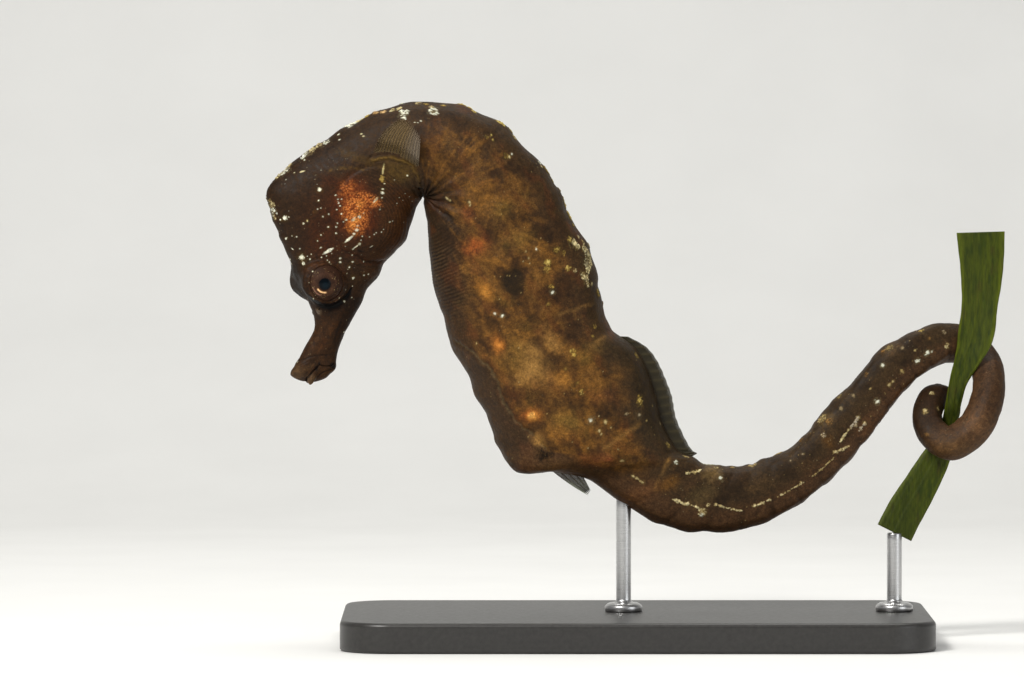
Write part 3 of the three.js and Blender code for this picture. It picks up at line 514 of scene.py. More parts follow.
# The shoulder girdle's edge under the pectoral fin, and the small gill opening at its lower end.
girdle, girdle_t = line_distance([(373, 160), (382, 157.5), (391, 157), (402, 160), (412, 166), (419, 176), (421, 188)])
near_neck = smooth(30, 50, deg) * (1 - smooth(165, 175, deg))
relief += near_neck * 0.11 * np.exp(-((girdle / 1.6) ** 2)) - near_neck * 0.05 * np.exp(-(((girdle - 3.2) / 1.4) ** 2))
k, m = spot(420.8, 188.5, 1.9, rough=0.1)
relief[k] -= 0.16 * m

# Snout: a low ridge along its side, creases behind the lips, the nostril before the eye.
snout_ridge, _ = line_distance([(346, 300), (334, 325), (326, 345)])
snout_zone = 1 - smooth(at("orbit_front"), at("orbit") + 0.4, Sf)
relief += snout_zone * 0.035 * np.exp(-((snout_ridge / 4) ** 2))
lip, _ = line_distance([(296, 362), (300, 360), (307, 357.6), (315, 355.4), (326, 354.6)], MX + 0.5 * N3, MY + 0.5 * N2)
relief += snout_zone * -0.035 * np.exp(-((lip / 0.7) ** 2))
lip2, _ = line_distance([(300, 365.5), (308, 361.5), (317, 360)], MX, MY)
relief += snout_zone * -0.025 * np.exp(-((lip2 / 0.7) ** 2))
gape, gape_t = line_distance([(305.2, 381.5), (307.0, 378.2), (310.6, 373.4), (316.2, 368.8), (319.5, 364.8), (324.5, 366.0), (329.0, 365.8), (332.0, 363.0)], MX, MY)
mouth_near = 1 - smooth(at("snout_front"), at("snout_front") + 0.8, Sf)
gape_deep = (0.17 - 0.07 * smooth(0.4, 0.62, gape_t)) * mouth_near
relief += -gape_deep * np.exp(-((gape / (0.75 - 0.15 * smooth(0.4, 0.6, gape_t))) ** 2))
relief += mouth_near * (0.03 * blob(300.5, 369, 7, 6, 50, 0.9) + 0.08 * blob(311.8, 378.5, 3.6, 4.4, 20, 0.6) + 0.02 * blob(324, 373, 8, 4.5, -35, 0.9))
jaw_fold, _ = line_distance([(317.5, 376.5), (322.5, 372.0), (330.0, 368.5)], MX, MY)
relief += mouth_near * -0.03 * np.exp(-((jaw_fold / 0.6) ** 2))
k, m = spot(319, 310.5, 2.4, 1.5, 70, rough=0.1, soft=0.6)
relief[k] += 0.09 * m
k, m = spot(319.4, 308.5, 0.9, rough=0.1)
relief[k] -= 0.09 * m

# ------------------------------------------------------------------ move the skin
# The outlines of the back and of the underside pass through the tabled points.
mid_line = np.gradient(C[:, [0, 2]], axis=0)
mid_line = mid_line / np.linalg.norm(mid_line, axis=1, keepdims=True)
across_line = np.stack([-mid_line[:, 1], mid_line[:, 0]], 1)
COL_DEG = np.degrees(mirror_angle)
for table, base in ((BACK_EDGE, 0.0), (BELLY_EDGE, 180.0)):
    want = -DOWN[:, [0, 2]] if base == 0 else DOWN[:, [0, 2]]
    n2 = across_line * np.sign(np.sum(across_line * want, 1))[:, None]
    G = (Pf + Nf * relief[:, None]).reshape(N_S, COLS, 3)
    height = np.einsum("nck,nk->nc", G[..., [0, 2]] - C[:, None, [0, 2]], n2)
    height = np.where(np.abs(COL_DEG - base)[None] < 80, height, -1e9)
    j = height.argmax(1)
    E2 = G[np.arange(N_S), j][:, [0, 2]]
    ex, ey = E2[:, 0] / SCALE + 640, 642 - E2[:, 1] / SCALE
    off, near_d = np.zeros(N_S), np.full(N_S, 1e9)
    for run_pts in table:
        for (x0, y0), (x1, y1) in zip(run_pts[:-1], run_pts[1:]):
            dx, dy = x1 - x0, y1 - y0
            tt = np.clip(((ex - x0) * dx + (ey - y0) * dy) / (dx * dx + dy * dy), 0, 1)
            vx, vy = x0 + tt * dx - ex, y0 + tt * dy - ey
            d = np.hypot(vx, vy)
            ends = (tt <= 0) & ((x0, y0) == run_pts[0]) | (tt >= 1) & ((x1, y1) == run_pts[-1])
            val = np.where(ends, 0.0, vx * n2[:, 0] - vy * n2[:, 1])
            closer = d < near_d
            near_d, off = np.where(closer, d, near_d), np.where(closer, val, off)
    on_head = S < NF - 0.5
    off = np.clip(np.where(near_d > np.where(on_head, 9.0, 4.5), 0, off), -3.2 - 3 * on_head, 3.2 + 3 * on_head) * (1 - smooth(at("coil_4"), at("coil_5"), S))
    w_ = np.exp(-(np.arange(-12, 13) / 4.5) ** 2)
    off = np.convolve(np.pad(off, 12, mode="edge"), w_ / w_.sum(), mode="valid")
    turn_to = COL_DEG[j]
    gap_deg = np.abs(COL_DEG[None] - turn_to[:, None])
    spread = np.where(S < NF, 30.0, 22.0)[:, None]
    relief += (off[:, None] * SCALE * np.exp(-((gap_deg / spread) ** 2))).ravel()

relief *= 1 - smooth(S_END - 1.2, S_END - 0.3, Sf)
Cf = np.repeat(C, COLS, axis=0)
round_end = 0.35 + 0.65 * np.sqrt(np.clip(1 - (1 - np.minimum(Sf / 0.55, 1)) ** 2, 0, 1))
P = Cf + (Pf - Cf) * round_end[:, None] + Nf * relief[:, None] * round_end[:, None]
for x_, y_, r_, dx_, dz_ in [(297.5, 377.0, 6.2, -6.2, -0.3), (292.0, 370.0, 5.0, -2.2, 0.3), (330.5, 368.5, 6.0, 3.0, 0.1), (335.0, 358.0, 9.0, 1.2, 0.0)]:
    g_ = np.exp(-(((MX - x_) ** 2 + (MY - y_) ** 2) / r_ ** 2)) * (Sf < at("orbit"))
    P = P + np.array([dx_, 0.0, dz_]) * SCALE * g_[:, None]
jaw_tip = mouth_near * blob(312.2, 378.0, 3.4, 4.6, 15, 0.7)
P = P + np.array([-0.05, 0.0, -0.34]) * jaw_tip[:, None]
cleft = gape_deep / 0.17 * np.exp(-((gape / 0.62) ** 2))

# The rims of the eyes: flesh that rises round each eyeball and laps on to it.
EYE_S = at("orbit") + 0.02
ec, ed, el, *_ = [a[0] for a in section(np.array([EYE_S]))]
EYES = {}
EX, EY = [], []
FACE = np.zeros(len(P))
# a shallow valley between the two eyes
eye_mid = ec - ed * EYE_UP
between = np.exp(-(((P - eye_mid) @ np.cross(el, ed)) / 1.55) ** 4) * (1 - smooth(6, 44, deg)) * (Sf < at("crown"))
P = P + ed * (0.42 * between)[:, None]
rim_shade = np.zeros(len(P))
rim_band = np.zeros(len(P))
for sign, label in ((1, "left"), (-1, "right")):
    E = ec - ed * EYE_UP + el * sign * (EYE_SIDE - 0.28) + (np.array([0.22, 0, 0.16]) if sign < 0 else np.array([0.05, 0, 0.11]))
    A = el * sign
    EYES[label] = (E, A)
    v = P - E
    h0 = v @ A
    lat = v - h0[:, None] * A
    raw = np.linalg.norm(lat, axis=1)
    # distance from the eye's axis, and farther where the head falls away before the eye
    rho = raw + 0.75 * np.clip(-(h0 + 0.12), 0, None)
    ang = np.arctan2(lat @ ed, lat @ np.cross(A, ed))
    same = ((Tf <= math.pi) if sign > 0 else (Tf >= math.pi)) | (deg < 2)
    near = (rho < 2.75) & same & (Sf < at("crown")) & (deg < 150)
    lift = 1.165 * np.sqrt(np.clip(1 - (np.minimum(rho, 1.9) / 2.0) ** 2, 0, 1))
    lift = lift - np.clip(rho - 1.9, 0, None) * 3.2
    wrinkle = 0.02 * np.cos(ang * 23 + 2 * N2) * smooth(1.4, 1.6, rho) * (1 - smooth(1.7, 2.0, rho))
    uneven = rho + 0.07 * N2 + 0.04 * np.sin(2 * ang + 0.7)
    ring = -0.022 * np.exp(-(((uneven - 1.62) / 0.05) ** 2)) - 0.015 * np.exp(-(((uneven - 1.84) / 0.05) ** 2))
    lift = lift + wrinkle + ring + 0.012 * np.exp(-(((uneven - 1.47) / 0.05) ** 2))
    kk = 0.16
    mixed = np.maximum(h0, lift) + kk * np.exp(-np.abs(h0 - lift) / kk) * 0.5
    inner = smooth(1.31, 1.39, rho)
    target = -0.45 * (1 - inner) + mixed * inner
    amount = 1 - smooth(2.3, 2.7, rho)
    # the bulge that each eye makes in the head also swells before and behind it
    swell = np.clip(np.minimum(rho, 1.86) - raw, 0, None) * (1 - smooth(1.86, 2.45, rho)) * smooth(0.9, 1.3, rho) * near
    push = np.where(near, (target - h0) * amount, 0.0)
    eased = push.reshape(N_S, COLS)
    for _ in range(14):
        eased[1:-1] = (eased[:-2] + 2 * eased[1:-1] + eased[2:]) / 4
        eased = (np.roll(eased, 1, 1) + 2 * eased + np.roll(eased, -1, 1)) / 4
    keep = 1 - smooth(1.62, 1.95, rho)
    push = np.where(near, push * keep, 0.0) + eased.ravel() * (1 - np.where(near, keep, 0.0))
    swell = swell.reshape(N_S, COLS)
    for _ in range(5):
        swell[1:-1] = (swell[:-2] + 2 * swell[1:-1] + swell[2:]) / 4
        swell = (np.roll(swell, 1, 1) + 2 * swell + np.roll(swell, -1, 1)) / 4
    P = P + A * push[:, None] + lat / np.maximum(raw, 1e-6)[:, None] * swell.ravel()[:, None]
    # marking coordinates of the skin as it now lies, the same for both eyes
    f_axis = unit(np.cross(el, ed))
    vp = P - E
    E_left = ec - ed * EYE_UP + el * (EYE_SIDE - 0.28) + np.array([0.05, 0, 0.11])
    hp = vp @ A
    Pm = E_left + np.outer(vp @ ed, ed) + np.outer(vp @ f_axis, f_axis) + np.outer(hp, el)
    around = same & (rho < 3.6) & (Sf < at("crown"))
    EX.append(np.where(around, Pm[:, 0] / SCALE + 640, -1e3))
    EY.append(np.where(around, 642 - Pm[:, 2] / SCALE, -1e3))
    on_face = smooth(-0.55, -0.1, hp)
    FACE = np.maximum(FACE, on_face * (around if sign > 0 else around))
    low = np.clip((lat[:, 0] * 0.3 - lat[:, 2] * 0.95) / np.maximum(rho, 1e-6), -1, 1)
    brow = np.clip((-lat[:, 0] * 0.8 + lat[:, 2] * 0.6) / np.maximum(rho, 1e-6), 0, 1)
    P = P + A * (near * 0.07 * brow * np.exp(-(((rho - 2.22) / 0.12) ** 2)))[:, None]
    rim_shade = np.maximum(rim_shade, near * 0.30 * np.exp(-(((rho - 1.37) / 0.025) ** 2)))
    rim_shade = np.maximum(rim_shade, near * 0.40 * np.exp(-(((uneven - 1.62) / 0.035) ** 2)))
    rim_shade = np.maximum(rim_shade, near * 0.30 * np.exp(-(((uneven - 1.84) / 0.04) ** 2)))
    rim_shade = np.maximum(rim_shade, near * 0.35 * np.exp(-(((rho - 1.98) / 0.04) ** 2)) * brow)
    rim_band = np.maximum(rim_band, near * on_face * smooth(1.34, 1.42, rho) * (1 - smooth(1.85, 2.0, rho)))

# the deep fold under each eye with a painted shadow in it, the pale edge above it, the brow over the eye with painted
# light on it, and the crease above the eye with painted shade in it
EX, EY = np.maximum(EX[0], EX[1]), np.maximum(EY[0], EY[1])
by_eye = (EX > 0) * FACE
rim_shade = rim_shade * FACE
under, under_t = line_distance([(303.2, 287), (306.5, 295), (313, 301.2), (321, 305), (330, 306.2), (338, 304.4), (345, 299.5), (349.5, 294), (352, 288)], EX, EY)
under_w = 1.0 + 2.3 * np.sin(math.pi * np.clip(under_t, 0, 1))
under_fold_shadow_m = by_eye * np.exp(-((under / under_w) ** 2)) * smooth(0.0, 0.24, under_t)
lid, _ = line_distance([(311, 292), (316, 297.5), (323, 301.2), (331, 302), (338, 299.3), (343.5, 294)], EX, EY)
lid_m = by_eye * np.exp(-((lid / 0.8) ** 2))
brow_l, _ = line_distance([(304.5, 271), (308, 267.3), (312, 265), (317, 263.2), (324, 263)], EX, EY)
brow_m = by_eye * np.exp(-((brow_l / 1.9) ** 2))
crease_l, _ = line_distance([(309, 275.5), (312, 271), (316.5, 267.5), (325, 265.3), (335, 266.7), (342, 272)], EX, EY)
crease_m = by_eye * np.exp(-((crease_l / 0.75) ** 2))
P = P + Nf * (-0.17 * under_fold_shadow_m + 0.02 * lid_m + 0.06 * brow_m - 0.035 * crease_m)[:, None]

# ------------------------------------------------------------------ the skin's colours, linear
def col(r, g, b):
    return np.array([r, g, b], dtype=float)


colour = np.tile(col(0.040, 0.0235, 0.0135), (len(P), 1))


# how strongly each kind of fine grain shows: glowing granules, golden threads, a dark net, pale flecks
glow_a, gold_a, net_a, fleck_a = (np.zeros(len(P)) for _ in range(4))


def lay(tint, m):
    global colour
    m = np.clip(m, 0, 1)[:, None]
    colour = colour * (1 - m) + np.asarray(tint) * m


def dab(x, y, r, tint, strength=1.0, aspect=1.0, turn=0.0, rough=0.25, soft=0.3, height=0.0):
    k, m = spot(x, y, r, aspect, turn, rough, soft)
    m = m * strength
    colour[k] = colour[k] * (1 - m[:, None]) + np.asarray(tint) * m[:, None]
    if height:
        P[k] += Nf[k] * (height * m)[:, None]


DARK = col(0.012, 0.0072, 0.0042)
REDDISH = col(0.075, 0.023, 0.009)
ORANGE = col(0.46, 0.125, 0.028)
AMBER = col(0.42, 0.20, 0.045)
GOLD = col(0.150, 0.077, 0.019)
OLIVE = col(0.085, 0.058, 0.017)
TAN = col(0.27, 0.165, 0.065)
CREAM = col(0.50, 0.42, 0.22)
WHITE = col(0.78, 0.78, 0.62)
YELLOW = col(0.55, 0.43, 0.13)
MAUVE = col(0.055, 0.035, 0.024)
GREY = col(0.17, 0.15, 0.115)

# head
lay(col(0.040, 0.0245, 0.0150), head_zone * blob(300, 185, 34, 30, 0, 0.7) * 0.8)
lay(col(0.048, 0.0185, 0.0080), head_zone * (blob(335, 225, 26, 34, -25, 0.8) * 0.75))
lay(REDDISH, head_zone * blob(338, 213, 12, 16, -20, 0.8) * 0.5)
lay(REDDISH, head_zone * blob(331, 181, 9, 6, 0, 0.8) * 0.45)
lay(REDDISH * 0.8, head_zone * blob(322, 228, 12, 9, 0, 0.9) * 0.35)
lay(col(0.088, 0.040, 0.0150), head_zone * blob(400, 215, 22, 40, 12, 0.7) * 0.7)
lay(col(0.058, 0.034, 0.0115), head_zone * blob(408, 176, 18, 12, 20, 0.7) * 0.9)
lay(DARK, head_zone * blob(331, 222, 5, 12, 60, 0.9) * 0.3)
lay(DARK, head_zone * blob(372, 232, 12, 18, -20, 0.9) * 0.35)
lay(col(0.056, 0.028, 0.0125), head_zone * blob(388, 247, 16, 14, 0, 0.9) * 0.5)
lay(col(0.046, 0.0225, 0.0105), snout_zone * 0.5)
lay(col(0.072, 0.036, 0.0165), snout_zone * np.exp(-((snout_ridge / 4.5) ** 2)) * (0.55 + 0.4 * N2))
lay(col(0.020, 0.0115, 0.0070), snout_zone * blob(352, 305, 9, 22, -22, 0.6) * 0.75)
lay(col(0.020, 0.0115, 0.0070), snout_zone * blob(346, 332, 7, 16, -10, 0.7) * 0.5)
# painted shade along the groove on the snout's side
snout_groove, _ = line_distance([(340.5, 322), (337, 331), (334, 342)], MX, MY)
lay(DARK * 0.7, snout_zone * np.exp(-((snout_groove / 1.3) ** 2)) * 0.75)
snout_edge_band = snout_zone * blob(317, 336, 9, 20, 25, 0.7)
lay(col(0.088, 0.046, 0.022), snout_edge_band * (0.35 + 0.5 * N1))
# a painted highlight on the snout's ridge
lay(col(0.12, 0.050, 0.018), snout_zone * blob(321.7, 344.8, 2.6, 7.5, 25, 0.9) * 0.45)
lay(col(0.060, 0.034, 0.0205), (1 - smooth(2.2, 4.6, Sf)) * (0.45 + 0.5 * N2))
# painted shade in the crease behind the lips
lay(DARK, snout_zone * np.exp(-((lip / 0.9) ** 2)) * 0.55)
lay(col(0.150, 0.105, 0.078), mouth_near * blob(299.5, 371.5, 6.5, 5.5, 50, 0.6) * 0.85)
lay(col(0.120, 0.080, 0.055), mouth_near * blob(309, 366.5, 6, 2.6, -28, 0.6) * 0.55)
lay(col(0.165, 0.125, 0.100), mouth_near * blob(311.9, 378.0, 4.4, 5.0, 20, 0.55) * 0.9)
lay(col(0.080, 0.046, 0.026), mouth_near * blob(325, 373, 7, 4.5, -35, 0.6) * 0.7)
# painted shade in the mouth's cleft and the jaw fold, and dark spots along the cleft
lay(DARK * 0.5, cleft * 0.85)
lay(DARK * 0.5, mouth_near * np.exp(-((jaw_fold / 0.75) ** 2)) * 0.8)
lay(DARK * 0.5, snout_zone * blob(330.2, 365.6, 3.2, 1.7, 38, 0.5) * 0.9)
lay(DARK * 0.4, snout_zone * blob(316.6, 368.3, 2.2, 1.5, 60, 0.5) * 0.9)
lay(DARK * 0.4, snout_zone * blob(319.3, 364.0, 1.6, 1.3, 60, 0.5) * 0.9)
olive_arc, _ = line_distance([(329, 171.5), (336, 168.5), (345, 167), (356, 167), (367, 170)])
lay(OLIVE * 1.35, gill_zone * np.exp(-((olive_arc / 1.3) ** 2)) * 0.8 * np.clip(0.8 + N3 * 1.2, 0, 1))
olive_arc2, _ = line_distance([(338, 150), (350, 154), (362, 160), (372, 163)])
lay(OLIVE * 1.1, gill_zone * np.exp(-((olive_arc2 / 4.0) ** 2)) * 0.55)
lay(OLIVE * 1.45, near_neck * np.exp(-((girdle / 1.9) ** 2)) * 0.85)
lay(OLIVE * 1.1, near_neck * blob(399, 172, 17, 9, 20, 0.6) * 0.65)
k, m = spot(334, 153, 9.5, rough=0.2)
ring_d = np.hypot(MX[k] - 334, MY[k] - 153)
mm = np.exp(-(((ring_d - 6.4 + 1.2 * N3[k]) / 0.9) ** 2)) * 0.6 * m
colour[k] = colour[k] * (1 - mm[:, None]) + DARK * mm[:, None]
# painted shade between the gill cover's ribs
lay(DARK, rib_zone * smooth(0.1, 0.9, -rib) * 0.42)
# painted shade in the groove across the cheek
lay(DARK * 0.8, gill_zone * np.exp(-((cheek_line / 1.1) ** 2)) * 0.5)
lay(REDDISH * 0.9, head_zone * blob(322, 246, 15, 11, 0, 0.9) * 0.45)
lay(DARK * 0.6, gill_zone * blob(360.5, 250.3, 2.4, 1.7, 20, 0.5) * 0.9)
lay(REDDISH * 0.8, gill_zone * np.exp(-(((cheek_line - 2.2) / 1.2) ** 2)) * 0.35)
# painted shade in the second groove across the cheek
lay(DARK, gill_zone * np.exp(-((cheek_line2 / 0.9) ** 2)) * 0.4)
lay(col(0.070, 0.036, 0.018), head_zone * blob(372, 272, 9, 6, 20, 0.6) * 0.6)
lay(col(0.062, 0.026, 0.012), rim_band * (0.45 + 0.5 * N2) * 0.8)
# painted light on the brow fold over the eye
lay(col(0.092, 0.044, 0.022), brow_m * 0.6)
# painted shade in the crease above the eye
lay(DARK * 0.5, crease_m * 0.55)
lay(DARK * 0.35, rim_shade * 0.95)
# painted shade in the valley between the eyes
lay(DARK * 0.75, between * 0.75)
# painted shadow in the deep fold under each eye
lay(DARK * 0.16, np.clip(under_fold_shadow_m * 1.6, 0, 1) * 0.98)
lay(col(0.130, 0.074, 0.040), lid_m * 0.5)

# the glowing patch on the cheek
glow_zone = head_zone * smooth(20, 40, deg)
broken = 1.25 * N2 + 0.9 * N3 + 0.5 * N4
lay(col(0.17, 0.040, 0.011), glow_zone * blob(357, 207, 16, 25, -10, 0.75) * 0.8)
glow_a = np.maximum(glow_a, glow_zone * np.clip(blob(356, 213, 11, 19, -6, 0.55) * 1.15 + broken * 0.35, 0, 1) * blob(356, 213, 15, 24, -6, 0.4))
glow_a = np.maximum(glow_a, glow_zone * np.clip(blob(370, 198.5, 12, 5.5, 22, 0.6) * 1.0 + broken * 0.3, 0, 1) * blob(370, 198.5, 15, 8, 22, 0.4))
glow_a = np.maximum(glow_a, glow_zone * np.clip(blob(349, 189, 8, 8, 0, 0.7) * (0.5 + broken), 0, 1) * 0.75)
lay(ORANGE, glow_zone * np.clip(blob(356, 213, 10.5, 18, -6, 0.45) * (0.80 + broken), 0, 1) * 0.85)
lay(ORANGE * 0.85, glow_zone * np.clip(blob(369, 199, 11, 5.5, 22, 0.5) * (0.70 + broken), 0, 1) * 0.85)
lay(ORANGE * 0.55, glow_zone * np.clip(blob(349, 189, 8, 8, 0, 0.7) * (0.5 + broken), 0, 1))
lay(AMBER * 1.25, glow_zone * np.clip(blob(358, 208, 7, 8, 0, 0.6) * (0.25 + 1.3 * broken), 0, 1))
lay(AMBER * 1.35, glow_zone * np.clip(blob(356, 224, 6, 8, 10, 0.6) * (0.25 + 1.3 * broken), 0, 1))
lay(REDDISH * 0.8, glow_zone * blob(361, 196, 9, 1.8, 48, 0.6) * 0.75)
lay(ORANGE * 0.22, glow_zone * smooth(0.10, 0.35, N3 + 0.5 * N4) * blob(356, 212, 12, 19, -6, 0.3) * 0.7)

# neck and trunk
neck_low = trunk_zone * smooth(45, 85, deg)
veil = smooth(-0.25, 0.35, N1 + 0.5 * N2)
fine_mix = N2 + 0.8 * N3 + 0.6 * N4
lay(col(0.070, 0.036, 0.0125), neck_low * (1 - smooth(118, 145, deg + 8 * N1)) * 0.75)
lay(GOLD, trunk_zone * smooth(38, 70, deg + 10 * N1) * (1 - smooth(122, 140, deg + 8 * N1)) * veil * 0.7)
lay(col(0.042, 0.0195, 0.0085), trunk_zone * smooth(0.08, 0.5, -N1 - 0.3 * N2) * 0.75)
lay(OLIVE * 0.6, trunk_zone * smooth(0.15, 0.5, fbm(Pf, 1.7, 3, 64.0)) * 0.6)
lay(col(0.040, 0.0255, 0.0125), trunk_zone * (1 - smooth(26, 52, deg + 14 * N1)) * 0.85)
lay(col(0.034, 0.0220, 0.0155), fold_zone * (1 - 0.7 * smooth(at("trunk_3"), at("trunk_5"), Sf)) * 0.9)
# painted shade in the troughs of the throat's folds, painted light on their crests
lay(DARK * 0.5, fold_zone * smooth(0.2, 0.9, -fold) * 0.92 * fold_amount * (1 - throat))
lay(col(0.068, 0.049, 0.036), fold_zone * smooth(0.2, 1.0, fold) * 0.50 * fold_amount * (1 - throat))
# painted shade in the creases that fan out from the throat, deepest where they meet
lay(DARK * 0.4, fan_zone * smooth(-0.3, 0.7, -fan) * 0.95)
lay(DARK * 0.4, (1 - smooth(3, 12, throat_d)) * fold_zone * 0.7)
lay(DARK * 0.9, (1 - smooth(10, 36, throat_d)) * fan_zone * 0.55)
# painted shade in the troughs of the fine folds on the side
lay(DARK, fine_zone * smooth(0.3, 1.0, -fine) * 0.12)
# fine golden and dark threads that fan out from the throat over the shoulder
thread_zone = trunk_zone * smooth(40, 60, deg) * (1 - smooth(118, 142, deg)) * smooth(14, 30, throat_d) * (1 - smooth(100, 170, throat_d))
polar = np.stack([np.radians(fan_angle) * 11, np.log(np.maximum(throat_d, 4)) * 1.6, N1 * 1.2], -1)
thread = 1.3 * noise(polar) + 0.9 * noise(polar * np.array([2.6, 1.5, 1.0]) + 7.7) + 0.35 * N3
lay(GOLD * 1.5, thread_zone * smooth(0.15, 0.9, thread) * 0.42)
lay(DARK * 1.4, thread_zone * smooth(0.15, 0.9, -thread) * 0.36)
# clouds that run along the flank
along = np.stack([(MX * 0.55 + MY * 0.83) / 46, (MX * 0.83 - MY * 0.55) / 17, N1 * 0.8], -1)
cloud = 1.2 * noise(along + 3.3) + 0.8 * noise(along * 2.3 + 9.1) + 0.5 * N2 + 0.25 * N3
lay(col(0.124, 0.065, 0.0205), trunk_zone * smooth(35, 62, deg) * (1 - smooth(120, 142, deg)) * smooth(0.10, 0.85, cloud) * 0.60)
lay(col(0.026, 0.0140, 0.0068), trunk_zone * smooth(0.10, 0.75, -cloud) * 0.60)
lay(col(0.085, 0.030, 0.0120), trunk_zone * smooth(0.1, 0.6, noise(along * 1.4 + 21.0) + 0.4 * N2) * 0.38)
gold_a = np.maximum(gold_a, trunk_zone * smooth(35, 60, deg) * (1 - smooth(126, 144, deg)) * np.clip(0.16 + 0.45 * cloud, 0, 1))
net_a = np.maximum(net_a, trunk_zone * 0.55 * np.clip(0.6 + 0.6 * N1, 0, 1) + tail_zone * 0.35)
net_a = np.maximum(net_a, head_zone * 0.45)
fleck_a = np.maximum(fleck_a, head_zone * 0.45 + trunk_zone * 0.35 * np.clip(0.5 + N1, 0, 1) + tail_zone * 0.45)
# painted shade in the small gill opening
k, m = spot(420.8, 188.5, 2.1, rough=0.1)
colour[k] = colour[k] * (1 - 0.9 * m[:, None]) + DARK * 0.3 * 0.9 * m[:, None]
# the plain belly band
below_line = smooth(0, 3.5, (MY - np.interp(MX, [440, 455, 475, 488, 497.5, 503, 515, 532, 546, 575, 620], [300, 340, 352, 365, 380, 400, 419, 434, 447, 452, 470])) * 1.0)
band = trunk_zone * smooth(96, 112, deg) * below_line * smooth(at("trunk_4") - 0.5, at("trunk_4") + 2.5, Sf)
lay(MAUVE * 0.66, band * 0.9)
lay(col(0.085, 0.040, 0.025), band * smooth(0.05, 0.5, fbm(Pf, 1.8, 2, 5.5)) * 0.5)
lay(col(0.10, 0.058, 0.034), trunk_zone * blob(545, 462, 30, 11, 10, 0.7) * 0.55)
lay(GREY * 0.5, trunk_zone * np.exp(-((belly_line / 1.0) ** 2)) * 0.55)
lay(col(0.13, 0.048, 0.026), trunk_zone * blob(594, 458, 16, 6, 5, 0.8) * 0.5)
# broad marks on the flank: x, y, rx, ry, turn, tint, strength, softness
FLANK = [
    (469, 213, 7, 9, 0, col(0.16, 0.055, 0.022), 0.7, 0.8),
    (475, 246, 10, 9, 0, col(0.27, 0.075, 0.022), 0.85, 0.8),
    (484, 289, 10, 8, 20, AMBER * 0.58, 0.95, 0.75),
    (486, 291, 5, 4, 0, col(0.37, 0.18, 0.038), 0.9, 0.7),
    (494, 260, 7, 4, 35, GOLD * 1.5, 0.7, 0.7),
    (468, 264, 6, 5, 0, GOLD * 1.3, 0.6, 0.8),
    (497.5, 342, 7, 8, 0, col(0.30, 0.12, 0.03), 0.8, 0.8),
    (497.5, 343, 4, 4.5, 0, col(0.58, 0.24, 0.05), 0.9, 0.7),
    (532, 413, 8, 6.5, 20, col(0.32, 0.11, 0.03), 0.85, 0.8),
    (534, 415, 3.6, 4.6, -10, col(0.66, 0.34, 0.08), 0.95, 0.6),
    (538, 437, 8, 4.5, 40, TAN, 0.85, 0.7),
    (553, 340, 7, 14, -35, TAN * 0.8, 0.75, 0.8),
    (536, 358, 9, 20, -38, TAN * 0.85, 0.85, 0.75),
    (530, 367, 10, 12, -30, col(0.29, 0.180, 0.072), 0.85, 0.75),
    (520, 378, 8, 6, 0, TAN, 0.6, 0.8),
    (563, 376, 7, 10, -25, GOLD * 1.9, 0.75, 0.75),
    (569, 420, 17, 11, 0, OLIVE * 1.9, 0.7, 0.8),
    (560, 430, 12, 5, 25, GOLD * 1.6, 0.5, 0.8),
    (553, 433, 9, 4, 30, GOLD * 1.5, 0.5, 0.8),
    (515, 352, 14, 18, 0, OLIVE * 1.5, 0.5, 0.9),
    (620, 372, 16, 9, -30, GOLD * 1.1, 0.5, 0.9),
    (603, 455, 9, 5, 0, col(0.14, 0.055, 0.03), 0.5, 0.9),
    (610, 457, 3.4, 3, 0, col(0.22, 0.07, 0.045), 0.5, 0.7),
    (470, 190, 14, 8, -35, GOLD * 1.2, 0.55, 0.9),
    (489, 189, 9, 12, 30, GOLD * 1.1, 0.5, 0.9),
    (505, 208, 12, 8, -25, OLIVE * 1.5, 0.6, 0.9),
    (520, 238, 16, 8, -10, OLIVE * 1.5, 0.55, 0.9),
    (440, 165, 14, 18, 0, GOLD * 0.95, 0.55, 0.9),
    (606, 396, 9, 7, 0, col(0.13, 0.055, 0.025), 0.5, 0.9),
    (590, 350, 20, 8, -30, OLIVE * 1.2, 0.5, 0.9),
]
CX, CY = MX + 5.5 * N1 + 3.2 * N2 + 1.6 * N3, MY + 5.5 * fbm(Pf, 2.0, 3, 71.0) - 3.0 * N2 + 1.4 * N3
for x, y, rx, ry, turn, tint, strength, soft in FLANK:
    where = trunk_zone * smooth(22, 34, deg)
    c_, s__ = math.cos(math.radians(turn)), math.sin(math.radians(turn))
    u_, v_ = CX - x, CY - y
    m = np.exp(-1.1 * (((u_ * c_ + v_ * s__) / rx) ** 2 + ((-u_ * s__ + v_ * c_) / ry) ** 2))
    lay(tint, where * np.clip(m * (1.10 + 0.32 * fine_mix), 0, 1) * strength * 0.92)
